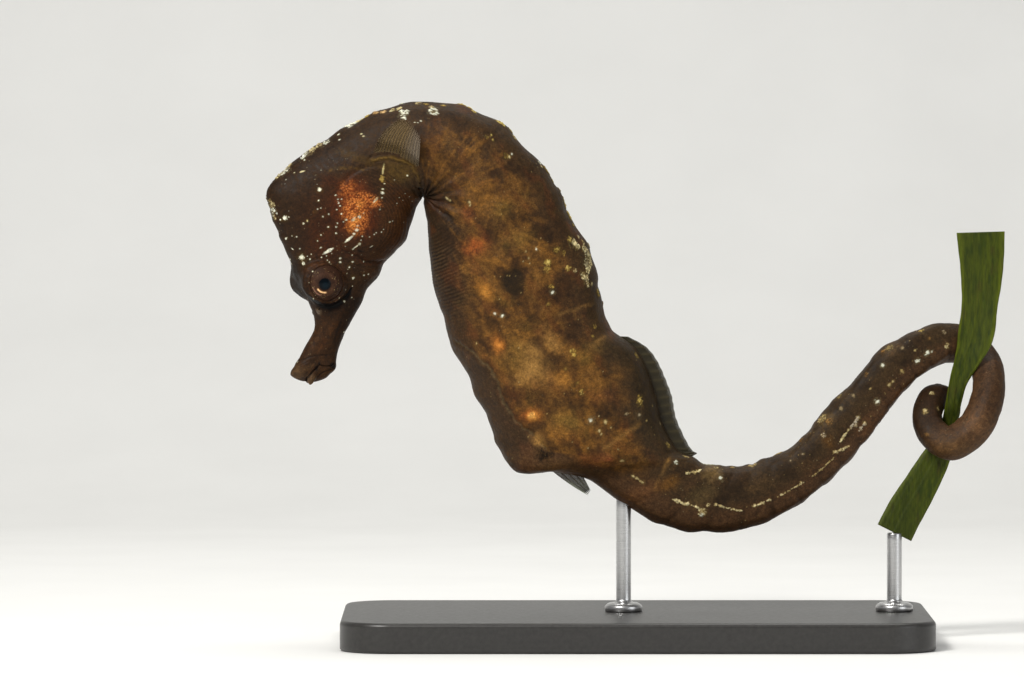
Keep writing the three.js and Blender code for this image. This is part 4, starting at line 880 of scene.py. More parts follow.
# darker clouds on the flank
for x, y, rx, ry, strength in [
    (521, 215, 16, 10, 0.35),
    (545, 232, 12, 8, 0.4),
    (455, 232, 16, 9, 0.35),
    (441, 206, 9, 13, 0.3),
    (590, 300, 9, 18, 0.3),
    (560, 300, 20, 12, 0.35),
    (529, 392, 22, 6, 0.35),
    (548, 362, 10, 9, 0.4),
    (548, 398, 16, 8, 0.35),
    (603, 408, 12, 9, 0.45),
    (620, 345, 14, 8, 0.35),
    (570, 325, 10, 14, 0.3),
    (506, 320, 18, 7, 0.3),
    (642, 425, 9, 12, 0.4),
    (470, 228, 9, 5, 0.35),
    (498, 222, 9, 7, 0.35),
    (546, 291, 13, 13, 0.35),
    (448, 305, 7, 22, 0.35),
]:
    lay(DARK * 1.25, trunk_zone * blob(x, y, rx, ry, 15, 0.6) * strength)
by_fin = smooth(at("trunk_5") + 0.3, at("trunk_5") + 2.0, Sf) * (1 - smooth(at("tail_root"), at("tail_root") + 2.5, Sf))
lay(col(0.025, 0.0185, 0.0115), by_fin * (1 - smooth(30, 72, deg + 16 * N1 + 8 * N2)) * 0.85)
spot_d = np.hypot((MX - 514) / 12.5, (MY - 280.5) / 14.5) * (1 + 0.05 * N2 + 0.05 * N3)
lay(col(0.0150, 0.0098, 0.0046), trunk_zone * smooth(20, 40, deg) * (1 - smooth(0.70, 1.25, spot_d)) * 0.95)
# slanting ochre lines near the fin and the vent
for pts, w, strength in [
    ([(638, 422), (621, 434), (604, 445)], 2.4, 0.42),
    ([(668, 459), (660, 474), (654, 489)], 2.2, 0.7),
    ([(590, 345), (606, 335), (620, 331)], 2.4, 0.35),
    ([(560, 312), (580, 306), (596, 302)], 2.0, 0.3),
]:
    d, _ = line_distance(pts)
    lay(TAN * 0.85, np.exp(-((d / w) ** 2)) * strength * smooth(20, 40, deg))

# tail
lay(col(0.036, 0.0245, 0.0145), tail_zone * (1 - smooth(80, 112, deg + 10 * N1)) * 0.9)
lay(col(0.060, 0.0345, 0.0225), tail_zone * smooth(96, 122, deg + 8 * N1) * 0.85)
lay(col(0.056, 0.033, 0.019), tail_zone * smooth(0.1, 0.5, N1) * 0.45)
# painted shade in the creases between the tail's rings, on its lower side
lay(DARK, tail_zone * crease * 0.35 * smooth(60, 130, deg))
for x, y, r in [
    (681, 470, 9), (735, 483, 18), (774, 463, 12), (808, 452, 11), (700, 487, 8), (838, 411, 10), (860, 384, 11),
    (874, 364, 10), (911, 345, 11), (843, 436, 6), (905, 362, 6), (788, 470, 10), (720, 497, 8),
]:
    lay(DARK, tail_zone * blob(x, y, r, r * 0.8, -30, 0.7) * 0.6)
for x, y, rx, ry, tint, strength in [
    (700, 495, 16, 8, col(0.085, 0.066, 0.036), 0.5), (711, 473, 8, 6, col(0.14, 0.105, 0.055), 0.6), (668, 482, 10, 6, GOLD, 0.6), (640, 492, 20, 8, col(0.13, 0.065, 0.035), 0.5),
    (829, 419, 7, 4, col(0.12, 0.085, 0.045), 0.55), (893, 349, 8, 4, col(0.095, 0.062, 0.036), 0.5), (905, 395, 14, 8, col(0.085, 0.038, 0.018), 0.5),
    (870, 425, 14, 8, col(0.075, 0.036, 0.018), 0.4), (828, 440, 5, 8, GOLD * 0.8, 0.4), (756, 484, 12, 6, col(0.055, 0.036, 0.02), 0.5),
]:
    lay(tint, tail_zone * blob(x, y, rx, ry, -30, 0.8) * strength)
# the coil's inner face, with a painted highlight where it faces the front, and its dark near turn
coil_front = coil_zone * smooth(at("coil_1") - 0.5, at("coil_1") + 1.5, Sf) * (1 - smooth(at("coil_7") - 1.2, at("coil_7") + 0.4, Sf))
coil_lit_face = coil_front * smooth(0.35, -0.25, Nf[:, 1])
lay(col(0.062, 0.036, 0.024), coil_front * 0.8)
lay(col(0.040, 0.021, 0.013), coil_front * np.clip(0.5 + 0.9 * N1, 0, 1) * 0.5)
wx_, wy_ = Pf[:, 0] / SCALE + 640, 642 - Pf[:, 2] / SCALE
# painted highlight on the coil's front-facing inner face
coil_highlight = np.exp(-(((wx_ - 976) / 17) ** 2) - (((wy_ - 424) / 17) ** 2))
lay(col(0.112, 0.066, 0.043), coil_lit_face * coil_highlight * np.clip(0.95 + 0.5 * N2 + 0.4 * N3, 0, 1.1))
lay(col(0.115, 0.070, 0.040), coil_lit_face * np.exp(-(((wx_ - 948) / 22) ** 2) - (((wy_ - 446) / 10) ** 2)) * 0.8)
lay(col(0.024, 0.0135, 0.0085), smooth(at("coil_6") + 0.2, at("coil_7") + 0.4, Sf) * 0.9)

# ------------------------------------------------------------------ spots, beads and crusts
# White and yellowish dots of the head: x, y, radius, then whiteness 0..1
HEAD_DOTS = [
    (320.5, 189.6, 2.0, 0.9), (304.8, 159.7, 1.3, 1), (290.6, 162.6, 1.2, 1), (294.9, 171.6, 1.0, 0.6), (321.9, 169.7, 0.7, 0.9),
    (319.5, 200.0, 1.1, 1), (336.6, 194.6, 0.9, 1), (339.0, 135.5, 1.2, 0.9), (340.4, 139.4, 0.9, 0.9), (361.7, 134.1, 1.1, 0.4),
    (363.9, 136.3, 1.0, 0.4), (285.6, 218.1, 2.1, 1), (281.3, 219.5, 0.9, 1), (289.9, 216.4, 0.8, 1), (308.4, 220.2, 1.2, 0.2),
    (304.8, 222.8, 1.1, 0.8), (324.0, 215.7, 0.9, 1), (329.3, 213.8, 0.9, 1), (319.0, 208.4, 0.7, 1), (321.9, 207.4, 0.7, 1),
    (339.0, 198.9, 0.7, 1), (339.4, 202.4, 0.8, 1), (342.1, 198.5, 0.7, 1), (341.1, 205.3, 0.9, 1), (337.6, 208.8, 0.7, 1),
    (341.8, 213.1, 1.3, 0.8), (347.5, 218.8, 1.1, 0.8), (338.3, 222.4, 0.9, 1), (329.0, 226.3, 1.1, 1), (336.8, 226.3, 1.0, 1),
    (336.8, 232.6, 0.9, 1), (344.2, 221.2, 0.7, 1), (322.3, 234.2, 1.0, 1), (292.7, 235.2, 0.8, 1), (297.3, 236.3, 0.8, 1),
    (286.6, 238.0, 1.3, 1), (318.6, 240.2, 1.1, 1), (321.9, 246.6, 0.9, 1), (360.3, 216.0, 1.9, 0.8), (358.2, 225.2, 1.3, 0.8),
    (356.8, 229.0, 1.8, 0.9), (354.6, 232.8, 1.4, 0.9), (362.5, 235.5, 1.0, 1), (369.6, 235.9, 0.6, 1), (373.8, 233.5, 0.8, 1),
    (376.0, 232.0, 0.7, 1), (380.7, 231.3, 0.8, 1), (383.1, 228.8, 0.6, 1), (389.5, 220.9, 1.0, 0.9), (392.0, 219.9, 0.6, 1),
    (353.2, 248.3, 0.8, 0.9), (359.6, 243.0, 1.4, 0.8), (361.0, 239.4, 0.7, 1), (357.5, 245.8, 0.7, 1), (353.2, 255.1, 0.9, 1),
    (353.2, 261.5, 1.3, 1), (349.6, 266.5, 1.4, 1), (340.8, 257.7, 1.1, 1), (340.8, 261.5, 1.3, 1), (326.9, 255.1, 0.8, 1),
    (327.6, 259.4, 0.9, 1), (329.7, 261.5, 0.8, 1), (322.6, 256.5, 0.8, 1), (311.9, 253.3, 0.8, 1), (310.5, 258.7, 1.0, 1),
    (308.4, 255.8, 0.7, 1), (408.0, 175.0, 1.1, 0.8), (383.1, 191.8, 1.6, 0.9), (382.4, 196.7, 0.8, 1), (383.5, 188.2, 1.2, 0.7),
    (385.2, 183.2, 0.9, 0.7), (364.2, 212.4, 0.8, 0.8), (380.3, 208.6, 0.7, 1), (396.6, 202.4, 0.6, 1), (399.5, 196.5, 0.6, 1),
    (394.9, 179.0, 0.5, 0.8), (415.8, 122.5, 0.7, 0.9), (418.7, 122.5, 0.6, 0.9), (422.0, 120.9, 0.9, 0.9), (302.0, 256.5, 2.6, 0.9),
    (303.4, 262.9, 1.7, 0.9), (300.5, 248.4, 0.7, 1), (288.0, 259.0, 1.0, 1), (288.4, 263.2, 1.0, 1), (275.6, 224.2, 0.9, 1),
    (278.8, 230.9, 0.7, 1), (367.8, 273.2, 1.3, 1), (364.2, 274.8, 0.9, 1), (353.4, 277.8, 1.6, 1), (345.1, 300.9, 1.2, 0.9),
    (344.2, 332.0, 1.1, 0.9), (352.8, 285.8, 0.7, 1), (313.7, 330.0, 0.6, 0.9), (296.8, 361.2, 0.8, 0.9), (309.4, 294.2, 0.9, 0.8),
    (310.6, 270.2, 0.8, 0.9), (338.3, 297.2, 0.7, 0.8), (348.5, 268.5, 0.6, 0.9), (347.5, 273.0, 0.6, 0.9), (331.0, 263.0, 0.6, 0.8),
]
for x, y, r, w in HEAD_DOTS:
    dab(x, y, r * 1.55, YELLOW * 0.22, 0.35, rough=0.5, soft=0.7)
    dab(x, y, r * (0.70 if r < 1.7 else 0.88), YELLOW * (1 - w) + WHITE * w, min(1.0, 0.5 + 0.45 * r), rough=0.45, soft=0.42, height=0.03 * min(1.5, r))
# streaks: from, to, radius, whiteness
for x0, y0, x1, y1, r, w in [
    (352.5, 235.5, 346.1, 240.8, 1.1, 0.9),
    (326.2, 251.8, 332.3, 248.2, 1.6, 1.0),
    (367.4, 248.3, 376.7, 243.0, 0.35, 0.8),
    (385.2, 163.4, 383.8, 174.3, 0.7, 0.2),
    (374.3, 201.7, 377.7, 197.0, 0.9, 0.5),
    (291.0, 247.5, 294.9, 249.7, 0.5, 0.9),
    (353.6, 219.5, 355.4, 217.0, 1.2, 0.6),
    (300.0, 171.2, 305.5, 170.4, 0.9, 0.4),
    (358.5, 244.0, 354.0, 247.5, 0.45, 0.8),
]:
    L = math.hypot(x1 - x0, y1 - y0) / 2
    dab((x0 + x1) / 2, (y0 + y1) / 2, r, YELLOW * (1 - w) + WHITE * w, 0.95, aspect=(L + r) / r, turn=math.degrees(math.atan2(y1 - y0, x1 - x0)), height=0.03)
dab(382.4, 178.2, 2.4, YELLOW * 0.8, 0.8, rough=0.9)
dab(315.5, 211.0, 2.0, TAN * 0.5, 0.5, rough=0.6, soft=0.7)
dab(319.3, 310.8, 2.6, col(0.23, 0.20, 0.20), 0.85, aspect=1.4, turn=70, soft=0.7)
# painted shade in the nostril
dab(319.4, 308.5, 0.8, DARK * 0.3, 0.9)
dab(311.8, 342.4, 1.2, GREY, 0.6, soft=0.7)

# Crusts of pale skin along the edge of the back, from crown to trunk: x, y, radius, tint, strength
EDGE = [
    (282, 168, 5.5, WHITE * 0.85, 0.95), (277.5, 174, 3.5, CREAM, 0.9), (288, 164, 3.0, CREAM, 0.8), (271.5, 205, 3.4, CREAM * 0.9, 0.8),
    (273.5, 212, 3.6, WHITE * 0.7, 0.85), (269.5, 201, 2.0, CREAM * 0.8, 0.7), (276, 217, 2.0, CREAM * 0.8, 0.7),
    (306, 153.5, 3.4, WHITE * 0.8, 0.9), (313, 149.5, 3.2, CREAM, 0.85), (320, 145.5, 3.2, CREAM * 0.95, 0.85), (327, 142, 3.0, WHITE * 0.8, 0.85),
    (303.5, 156.5, 2.2, WHITE, 0.9), (349, 123.5, 3.6, WHITE * 0.85, 0.9), (353, 120.8, 3.4, WHITE * 0.8, 0.9), (359, 119.5, 3.0, CREAM, 0.8),
    (351, 127, 1.6, WHITE * 0.8, 0.7), (368, 116.5, 2.0, YELLOW * 0.8, 0.7), (376, 114, 2.4, col(0.55, 0.36, 0.16), 0.85),
    (384, 112, 2.4, col(0.55, 0.36, 0.16), 0.85), (392, 110.5, 2.4, CREAM, 0.85), (399, 109, 2.2, CREAM, 0.8), (402, 104.5, 1.6, WHITE * 0.8, 0.8),
    (404, 114.5, 3.6, WHITE, 1.0), (404.5, 118.5, 2.2, WHITE * 0.9, 0.9), (401.5, 111.5, 1.6, WHITE * 0.9, 0.8), (407, 112, 1.6, WHITE * 0.9, 0.8),
    (419, 104, 2.4, CREAM * 0.9, 0.7), (426, 104.5, 1.8, YELLOW * 0.8, 0.6), (433.5, 111.5, 3.8, WHITE * 0.85, 0.9), (431, 107.5, 2.0, CREAM, 0.8),
    (436.5, 114, 1.8, WHITE * 0.85, 0.8), (443, 105.5, 1.8, YELLOW * 0.7, 0.6), (460, 104.5, 2.2, YELLOW * 0.9, 0.9), (464, 106, 1.8, YELLOW, 0.85),
    (470, 108.5, 2.4, YELLOW * 0.9, 0.9), (474, 111.5, 2.2, YELLOW * 0.9, 0.9), (499, 123, 2.8, YELLOW * 0.9, 0.9), (502.5, 125.5, 1.8, YELLOW, 0.9),
    (512, 131.5, 2.4, YELLOW * 0.8, 0.85), (515.5, 136.5, 2.8, CREAM * 1.1, 0.9), (539, 163.5, 1.6, WHITE * 0.8, 0.9), (540.3, 166.5, 1.2, CREAM, 0.8),
    (546, 171.5, 2.8, YELLOW * 0.7, 0.85), (548.5, 174, 1.6, YELLOW * 0.7, 0.8), (565.5, 202, 2.2, YELLOW * 0.75, 0.9), (566.8, 206.8, 1.6, YELLOW * 0.7, 0.8),
    (569.5, 213, 3.0, YELLOW * 0.75, 0.85), (573, 242.5, 3.4, CREAM * 0.95, 0.85), (569, 239, 2.2, YELLOW * 0.6, 0.7), (582, 243, 2.2, CREAM * 0.8, 0.6),
    (587, 255, 6.0, col(0.36, 0.32, 0.20), 0.75), (586, 263, 4.5, col(0.34, 0.30, 0.18), 0.75), (588.5, 268.5, 2.4, CREAM, 0.85),
    (582.5, 275, 3.0, CREAM * 0.9, 0.85), (586, 279, 2.2, CREAM * 0.9, 0.8), (598, 292, 3.2, YELLOW * 0.5, 0.75), (591.5, 284, 1.6, CREAM * 0.8, 0.7),
    (543.5, 168.5, 1.4, YELLOW * 0.7, 0.85), (552, 180.5, 1.8, YELLOW * 0.75, 0.85), (557.5, 189, 1.6, YELLOW * 0.7, 0.8), (562.5, 198, 1.6, YELLOW * 0.7, 0.8),
    (571.5, 218, 2.4, YELLOW * 0.8, 0.85), (573.5, 224, 1.5, YELLOW * 0.7, 0.8), (576.5, 246, 2.6, CREAM, 0.85), (588.5, 245.5, 2.4, CREAM * 1.1, 0.85), (577.5, 236.5, 1.7, CREAM * 0.8, 0.8),
    (583, 248, 3.2, CREAM * 0.9, 0.95), (588, 255, 3.8, CREAM * 0.95, 0.95), (589.5, 262, 3.2, CREAM * 0.9, 0.95), (586.5, 270, 2.8, CREAM * 0.95, 0.9),
    (584.5, 277, 3.0, CREAM * 0.9, 0.9), (586.5, 283, 2.2, CREAM * 0.8, 0.9), (574.3, 269.3, 1.8, CREAM * 0.7, 0.7), (567.5, 267, 2.4, YELLOW * 0.6, 0.7), (603, 304, 1.8, TAN, 0.5),
]
def crust(x, y, r, tint, strength, height=0.05):
    """A crust of pale skin: a soft yellowish ground with separate granules of many sizes on it."""
    p = anchor(x, y)
    k = PATCH.near(p, r * 1.5 * SCALE)
    d0 = np.linalg.norm(QM[k] - p, axis=1) / (r * SCALE)
    ground = 1 - smooth(0.3, 1.35, d0 * (1 + N3[k] * 0.8 + N4[k] * 1.2))
    mg = (ground * strength * 0.6)[:, None]
    colour[k] = colour[k] * (1 - mg) + tint * 0.30 * mg
    h = 0.3 * ground
    inside = k[d0 < 1.0]
    for _ in range(int(4 + 2.4 * r * r) if len(inside) else 0):
        c = QM[inside[int(_rng.random() * len(inside))]]
        g = (0.28 + 0.55 * _rng.random() ** 2) * min(1.0, 0.5 + r * 0.16) * SCALE
        mm = 1 - smooth(0.5, 1.5, np.linalg.norm(QM[k] - c, axis=1) / g * (1 + 0.7 * N4[k]))
        mc = (mm * strength)[:, None]
        colour[k] = colour[k] * (1 - mc) + tint * (0.70 + 0.6 * _rng.random()) * mc
        h = np.maximum(h, mm * (0.55 + 0.45 * _rng.random()))
    P[k] += Nf[k] * (height * h)[:, None]


for x, y, r, tint, strength in EDGE:
    crust(x, y, r * (1.35 if x < 370 else 1.2), tint * (1.45 if 560 < x < 600 else 1.25 if x < 370 else 1.1), strength, 0.085)
# Spots of the trunk: x, y, radius, tint, strength
TRUNK_DOTS = [
    (491.0, 135.0, 1.0, YELLOW, 0.9), (492.5, 139.5, 1.0, YELLOW, 0.8), (487, 137, 2.4, YELLOW * 0.35, 0.6), (509.0, 156.3, 1.3, CREAM * 1.3, 1),
    (512.0, 153.8, 1.0, WHITE * 0.9, 1), (506, 156, 3.0, YELLOW * 0.3, 0.6), (469.3, 201.8, 1.2, CREAM, 0.9), (470.0, 204.3, 0.8, CREAM * 1.2, 1),
    (447.5, 198.3, 1.3, CREAM, 0.9), (449.8, 199.5, 0.8, CREAM, 0.8), (536.0, 247.8, 1.1, WHITE, 0.9), (525.5, 250.2, 0.8, CREAM, 0.7),
    (529.3, 257.3, 0.8, CREAM, 0.7), (529.6, 262.5, 0.8, CREAM, 0.7), (523.3, 260.3, 0.7, CREAM, 0.7), (507.2, 274.3, 0.6, CREAM * 0.5, 0.8),
    (515.8, 274.3, 0.5, CREAM * 0.5, 0.7), (547.3, 262.0, 3.6, YELLOW * 0.62, 0.85), (547.0, 269.0, 3.4, YELLOW * 0.5, 0.85), (548.0, 261.0, 1.6, YELLOW * 1.1, 0.8),
    (556.3, 249.0, 3.0, YELLOW * 0.45, 0.8), (563, 252, 2.4, YELLOW * 0.35, 0.6), (552.5, 290.6, 1.4, WHITE * 0.9, 1), (551, 286, 2.6, YELLOW * 0.5, 0.7),
    (495.6, 312.4, 1.2, WHITE, 1), (502.5, 314.0, 1.4, WHITE, 1), (521, 291, 0.5, CREAM * 0.5, 0.8), (477.0, 341.5, 0.8, CREAM, 0.7),
    (581.5, 390.0, 2.6, YELLOW * 0.7, 0.9), (572.0, 350.0, 3.2, YELLOW * 0.55, 0.85), (573, 352.5, 1.6, YELLOW * 0.7, 0.7), (639.0, 400.5, 3.6, YELLOW * 0.75, 0.95),
    (638.5, 396, 2.6, YELLOW * 0.65, 0.8), (636.0, 355.0, 3.2, YELLOW * 0.5, 0.85), (655.6, 396.5, 2.4, YELLOW * 0.5, 0.85), (667.0, 444.5, 3.0, YELLOW * 0.7, 0.95),
    (685.5, 456.5, 3.4, CREAM * 0.75, 0.85), (590.0, 418.0, 1.8, WHITE * 0.9, 1), (599.0, 428.8, 1.3, CREAM, 0.95), (601.0, 432.2, 0.9, CREAM, 0.8),
    (625.8, 412.0, 2.0, GREY * 1.6, 0.8), (604.5, 420.0, 1.6, CREAM, 0.7), (638.0, 413.0, 1.9, GREY * 2.0, 0.8), (622.0, 459.0, 1.4, CREAM, 0.8),
    (632.5, 474.8, 1.3, CREAM, 0.9), (642.3, 481.5, 1.3, CREAM, 0.9), (637, 477.5, 0.8, CREAM, 0.8), (675.5, 461.0, 2.0, WHITE * 0.75, 0.9),
    (592, 335, 1.6, YELLOW * 0.4, 0.6), (594, 326, 2.8, YELLOW * 0.35, 0.6), (565, 367, 1.4, YELLOW * 0.5, 0.7), (548, 302, 1.6, YELLOW * 0.5, 0.6),
    (610, 425, 0.8, CREAM, 0.7), (598, 414, 0.7, CREAM, 0.7), (646, 419, 0.8, CREAM, 0.6), (588, 446, 0.9, CREAM, 0.6), (617, 447, 0.8, CREAM, 0.6),
    (545.0, 452.3, 5.2, DARK * 0.7, 0.9), (578, 381, 1.2, YELLOW * 0.5, 0.6), (652, 405, 0.8, CREAM, 0.6), (660, 423, 1.6, GREY * 1.5, 0.6),
]
for x, y, r, tint, strength in TRUNK_DOTS:
    if r > 1.9 and tint.sum() > 0.1:
        crust(x, y, r, tint, strength * 0.9, 0.02)
    else:
        dab(x, y, r * 1.6, tint * 0.3, strength * 0.4, rough=0.6, soft=0.8)
        dab(x, y, r * 0.85, tint, strength, rough=0.6, soft=0.45, height=0.015)
# Knobs and crusts of the tail
TAIL_DOTS = [
    (709.5, 465.5, 5.0, WHITE * 0.62, 0.9), (703.5, 463.5, 2.6, WHITE * 0.6, 0.8), (716, 468, 2.6, CREAM * 0.8, 0.8), (733.0, 467.5, 1.8, CREAM * 0.6, 0.8),
    (753.3, 465.8, 3.4, CREAM * 0.8, 0.9), (750, 466.8, 2.0, CREAM * 0.7, 0.8), (778.4, 453.5, 4.0, CREAM * 0.75, 0.9), (801.5, 440.5, 2.6, TAN, 0.85),
    (822.8, 418.5, 5.5, CREAM * 0.75, 0.85), (829, 421, 3.6, TAN, 0.7), (840.2, 397.5, 3.0, CREAM * 0.6, 0.85), (865.5, 375, 2.4, TAN * 0.8, 0.7),
    (890.0, 348.5, 4.6, CREAM * 0.6, 0.85), (884, 352, 2.2, TAN, 0.7), (921.4, 331.5, 2.6, YELLOW * 0.7, 0.85), (702.2, 511.5, 4.2, CREAM * 1.1, 0.95),
    (701, 513.5, 2.0, WHITE, 0.9), (707.5, 503.5, 2.0, CREAM * 0.9, 0.9), (719.6, 477.3, 1.8, WHITE * 0.8, 0.9), (676.2, 461.7, 2.0, WHITE * 0.7, 0.85),
    (823, 434.5, 2.4, GREY * 2.2, 0.8), (802.5, 453.5, 1.4, GREY * 2, 0.8), (790, 460, 1.0, GREY * 2, 0.7), (841, 408.5, 1.8, GREY * 1.8, 0.7),
    (877.4, 401.2, 1.9, WHITE, 1), (882.5, 365.6, 1.5, WHITE * 0.8, 0.95), (917.2, 360.9, 1.7, WHITE, 1), (927.0, 352.6, 1.9, WHITE, 1),
    (931.6, 351.8, 1.1, WHITE * 0.8, 0.9), (947.7, 346.3, 2.8, CREAM * 0.9, 0.8), (944.3, 332.3, 2.2, GREY * 2, 0.6), (902.8, 347.5, 1.4, GREY * 2, 0.7),
    (889.0, 384.5, 1.5, CREAM, 0.8), (893.5, 381.0, 1.1, CREAM, 0.8), (902.0, 371.0, 1.4, CREAM * 0.8, 0.7), (853.5, 395.6, 1.6, GREY * 1.8, 0.7),
    (858.0, 417.0, 1.4, CREAM, 0.85), (864.0, 422.7, 1.6, CREAM, 0.85), (854.6, 424.5, 1.6, GREY * 2.2, 0.8), (930, 338, 1.6, TAN, 0.6),
    (931.6, 393.0, 2.3, CREAM * 1.2, 0.95), (925.0, 410.0, 1.9, CREAM, 0.85), (937.5, 408.3, 1.7, CREAM * 0.8, 0.8), (925.6, 432.8, 1.8, TAN, 0.5),
    (923.5, 413, 1.0, CREAM * 0.8, 0.7), (940, 385, 2.6, GREY, 0.6), (915, 350, 0.8, CREAM, 0.7), (870, 388, 0.8, CREAM, 0.6),
]
for x, y, r, tint, strength in TAIL_DOTS:
    if r > 1.9:
        crust(x, y, r, tint, strength, 0.05)
    else:
        dab(x, y, r * 1.5, tint * 0.3, strength * 0.45, rough=0.6, soft=0.8)
        dab(x, y, r * 0.9, tint, strength, rough=0.7, soft=0.45, height=0.04)
# Rows of fine beads along the tail's side ridge: points, bead radius, tint
BEADS = [
    ([(672.3, 498.0), (681.0, 501.3), (689.7, 504.1), (697.4, 506.3)], 1.0, CREAM * 1.25),
    ([(713.8, 504.1), (723.4, 506.1), (735.0, 509.0), (742.7, 510.3)], 0.75, CREAM),
    ([(753.3, 505.7), (762.0, 502.2), (769.7, 498.7)], 0.95, CREAM * 1.1),
    ([(777.4, 495.5), (789.0, 489.7), (802.5, 482.0)], 0.65, CREAM * 0.9),
    ([(812, 476), (824, 466), (834, 457)], 0.5, CREAM * 0.6),
    ([(834.3, 452.0), (839.2, 450.5), (848.8, 445.3)], 1.1, CREAM * 1.2),
    ([(840.0, 441.5), (847.8, 428.9)], 1.05, CREAM * 1.15),
    ([(850.7, 427.0), (858.4, 415.4)], 0.8, GREY * 2.6),
    ([(858.4, 430.9), (865.2, 422.2)], 0.85, GREY * 2.4),
    ([(685.8, 472.4), (693, 471), (701.3, 469.8)], 1.0, CREAM * 1.1),
    ([(632.5, 474.8), (642.3, 481.5)], 0.6, CREAM * 0.8),
]
for pts, r, tint in BEADS:
    run = np.concatenate([[0], np.cumsum(np.hypot(*np.diff(np.array(pts), axis=0).T))])
    for u in np.arange(0, run[-1] + 0.01, r * 1.25):
        if _rng.random() < 0.16:
            continue
        x = np.interp(u, run, [p[0] for p in pts]) + _rng.normal() * 0.35
        y = np.interp(u, run, [p[1] for p in pts]) + _rng.normal() * 0.35
        dab(x, y, r * (0.60 + 0.75 * _rng.random()), tint * (0.7 + 0.6 * _rng.random()), 0.95, rough=0.8, soft=0.45, height=0.035)

# Scattered fine dots everywhere, the far side and the back as well.
pick = _rng.random(len(P))
for zone, count, lo, hi, tint in [
    (head_zone * (Sf > at("orbit_front")), 90, 0.3, 0.65, WHITE * 0.8),
    (trunk_zone, 110, 0.3, 0.7, CREAM * 0.7),
    (tail_zone * (1 - 0.9 * coil_zone), 110, 0.3, 0.7, CREAM * 0.6),
]:
    chosen = np.where(zone > 0.8)[0]
    for k0 in chosen[(_rng.random(count) * len(chosen)).astype(int)]:
        p = Pf[k0]
        r = (lo + (hi - lo) * _rng.random() ** 2) * SCALE
        near = np.where(np.abs(Sf - Sf[k0]) < r * 3)[0]
        near = near[np.abs(Pf[near] - p).max(1) < r * 1.5]
        m = (1 - smooth(0.7, 1.3, np.linalg.norm(Pf[near] - p, axis=1) / r)) * (0.35 + 0.5 * _rng.random())
        colour[near] = colour[near] * (1 - m[:, None]) + tint * m[:, None]
        P[near] += Nf[near] * (0.02 * m)[:, None]

# cloudiness of the whole skin, a tone that changes along the body, painted shade over the top of the head and the nape,
# the snout darkened the same way, and a redder hue on the head
colour = colour * np.clip(1 + 0.30 * N3 + 0.22 * N2 + 0.30 * N4, 0.35, 1.9)[:, None]
pale = smooth(0.12, 0.4, colour.mean(1))[:, None]
tone = np.interp(Sf, [0, at("orbit"), at("nape_front"), at("trunk_2"), at("trunk_4"), at("trunk_5"), at("tail_root"), at("tail_7"), S_END], [0.82, 0.76, 0.74, 0.90, 1.02, 1.12, 1.12, 1.00, 0.90])[:, None]
# painted shade on the top of the head and the nape; the snout darkened the same way
head_top_shade = np.maximum(head_zone, 0.9 * np.exp(-(((Sf - NF) / 3.0) ** 2))) * (1 - smooth(20, 85, deg)) + 0.8 * (1 - smooth(at("orbit_front"), at("orbit"), Sf))
tone = tone.ravel()[:, None] * (1 - 0.27 * np.clip(head_top_shade, 0, 1) * (1 - glow_a))[:, None] if tone.size == len(P) else tone
hue = np.array([1.02, 0.845, 0.53]) * (1 - (head_zone * (1 - glow_a))[:, None] * np.array([0.0, 0.09, 0.16]))
colour = colour * (tone * hue * (1 - pale) + pale * 0.95)
colour = np.clip(colour, 0.0015, 0.95)

# ------------------------------------------------------------------ the skin as one mesh
grid = P.reshape(N_S, COLS, 3)
# a round end at the mouth and at the tail's tip
quads = grid_quads(N_S, COLS, True, flip=not FLIP)
cap_points, cap_tris = [], []
for row, inward in ((0, 1), (N_S - 1, -1)):
    mid = grid[row].mean(0)
    if row == 0:
        mid = mid + np.array([0.0, 0.0, 0.12])
    index = len(P) + len(cap_points)
    cap_points.append(mid)
    j = np.arange(COLS)
    a, b = row * COLS + j, row * COLS + (j + 1) % COLS
    t = np.stack([a, b, np.full(COLS, index)], -1)
    if (row == 0) != FLIP:
        t = t[:, ::-1]
    cap_tris.append(t)
skin_points = np.vstack([P, cap_points])
skin = new_mesh("seahorse_skin", skin_points, quads, np.vstack(cap_tris))
skin_colour = np.vstack([colour, DARK[None] * 0.6, colour[-1:]])
paint(skin, skin_colour)
for values, name in ((glow_a, "glow"), (gold_a, "gold"), (net_a, "net"), (fleck_a, "fleck")):
    number(skin, np.append(values, [0.0, 0.0]), name)

# a map that unrolls the body in two strips
uv = skin.data.uv_layers.new(name="OFBake")
run = S / S_END
li = np.empty(len(skin.data.loops), dtype=np.int32)
skin.data.loops.foreach_get("vertex_index", li)
n_quads = len(quads)
qi = li[: n_quads * 4].reshape(-1, 4)
row = np.minimum(qi // COLS, N_S - 1)
colm = qi % COLS
wrapped = (colm.max(1) - colm.min(1)) > COLS // 2
colm = np.where(wrapped[:, None] & (colm < COLS // 2), colm + COLS, colm)
strip = (run[row.min(1)] >= 0.5).astype(int)
u = (run[row] - 0.5 * strip[:, None]) * 2 * 0.985 + 0.005
v = colm / COLS * 0.485 + 0.005 + 0.5 * strip[:, None]
uvs = np.zeros((len(li), 2), dtype=np.float32)
uvs[: n_quads * 4, 0], uvs[: n_quads * 4, 1] = u.ravel(), v.ravel()
ti = li[n_quads * 4 :].reshape(-1, 3)
for r_, base_u in ((0, 0.0025), (1, 0.9945)):
    pass
tri_u = np.where(ti < N_S * COLS, 0.0, 1.0)
first = np.arange(len(ti)) < COLS
tu = np.where(first[:, None], 0.005 - 0.003 * tri_u, 0.990 + 0.004 * tri_u)
tcol = ti % COLS
mean_col = np.where(ti < N_S * COLS, tcol, 0).sum(1) / 2
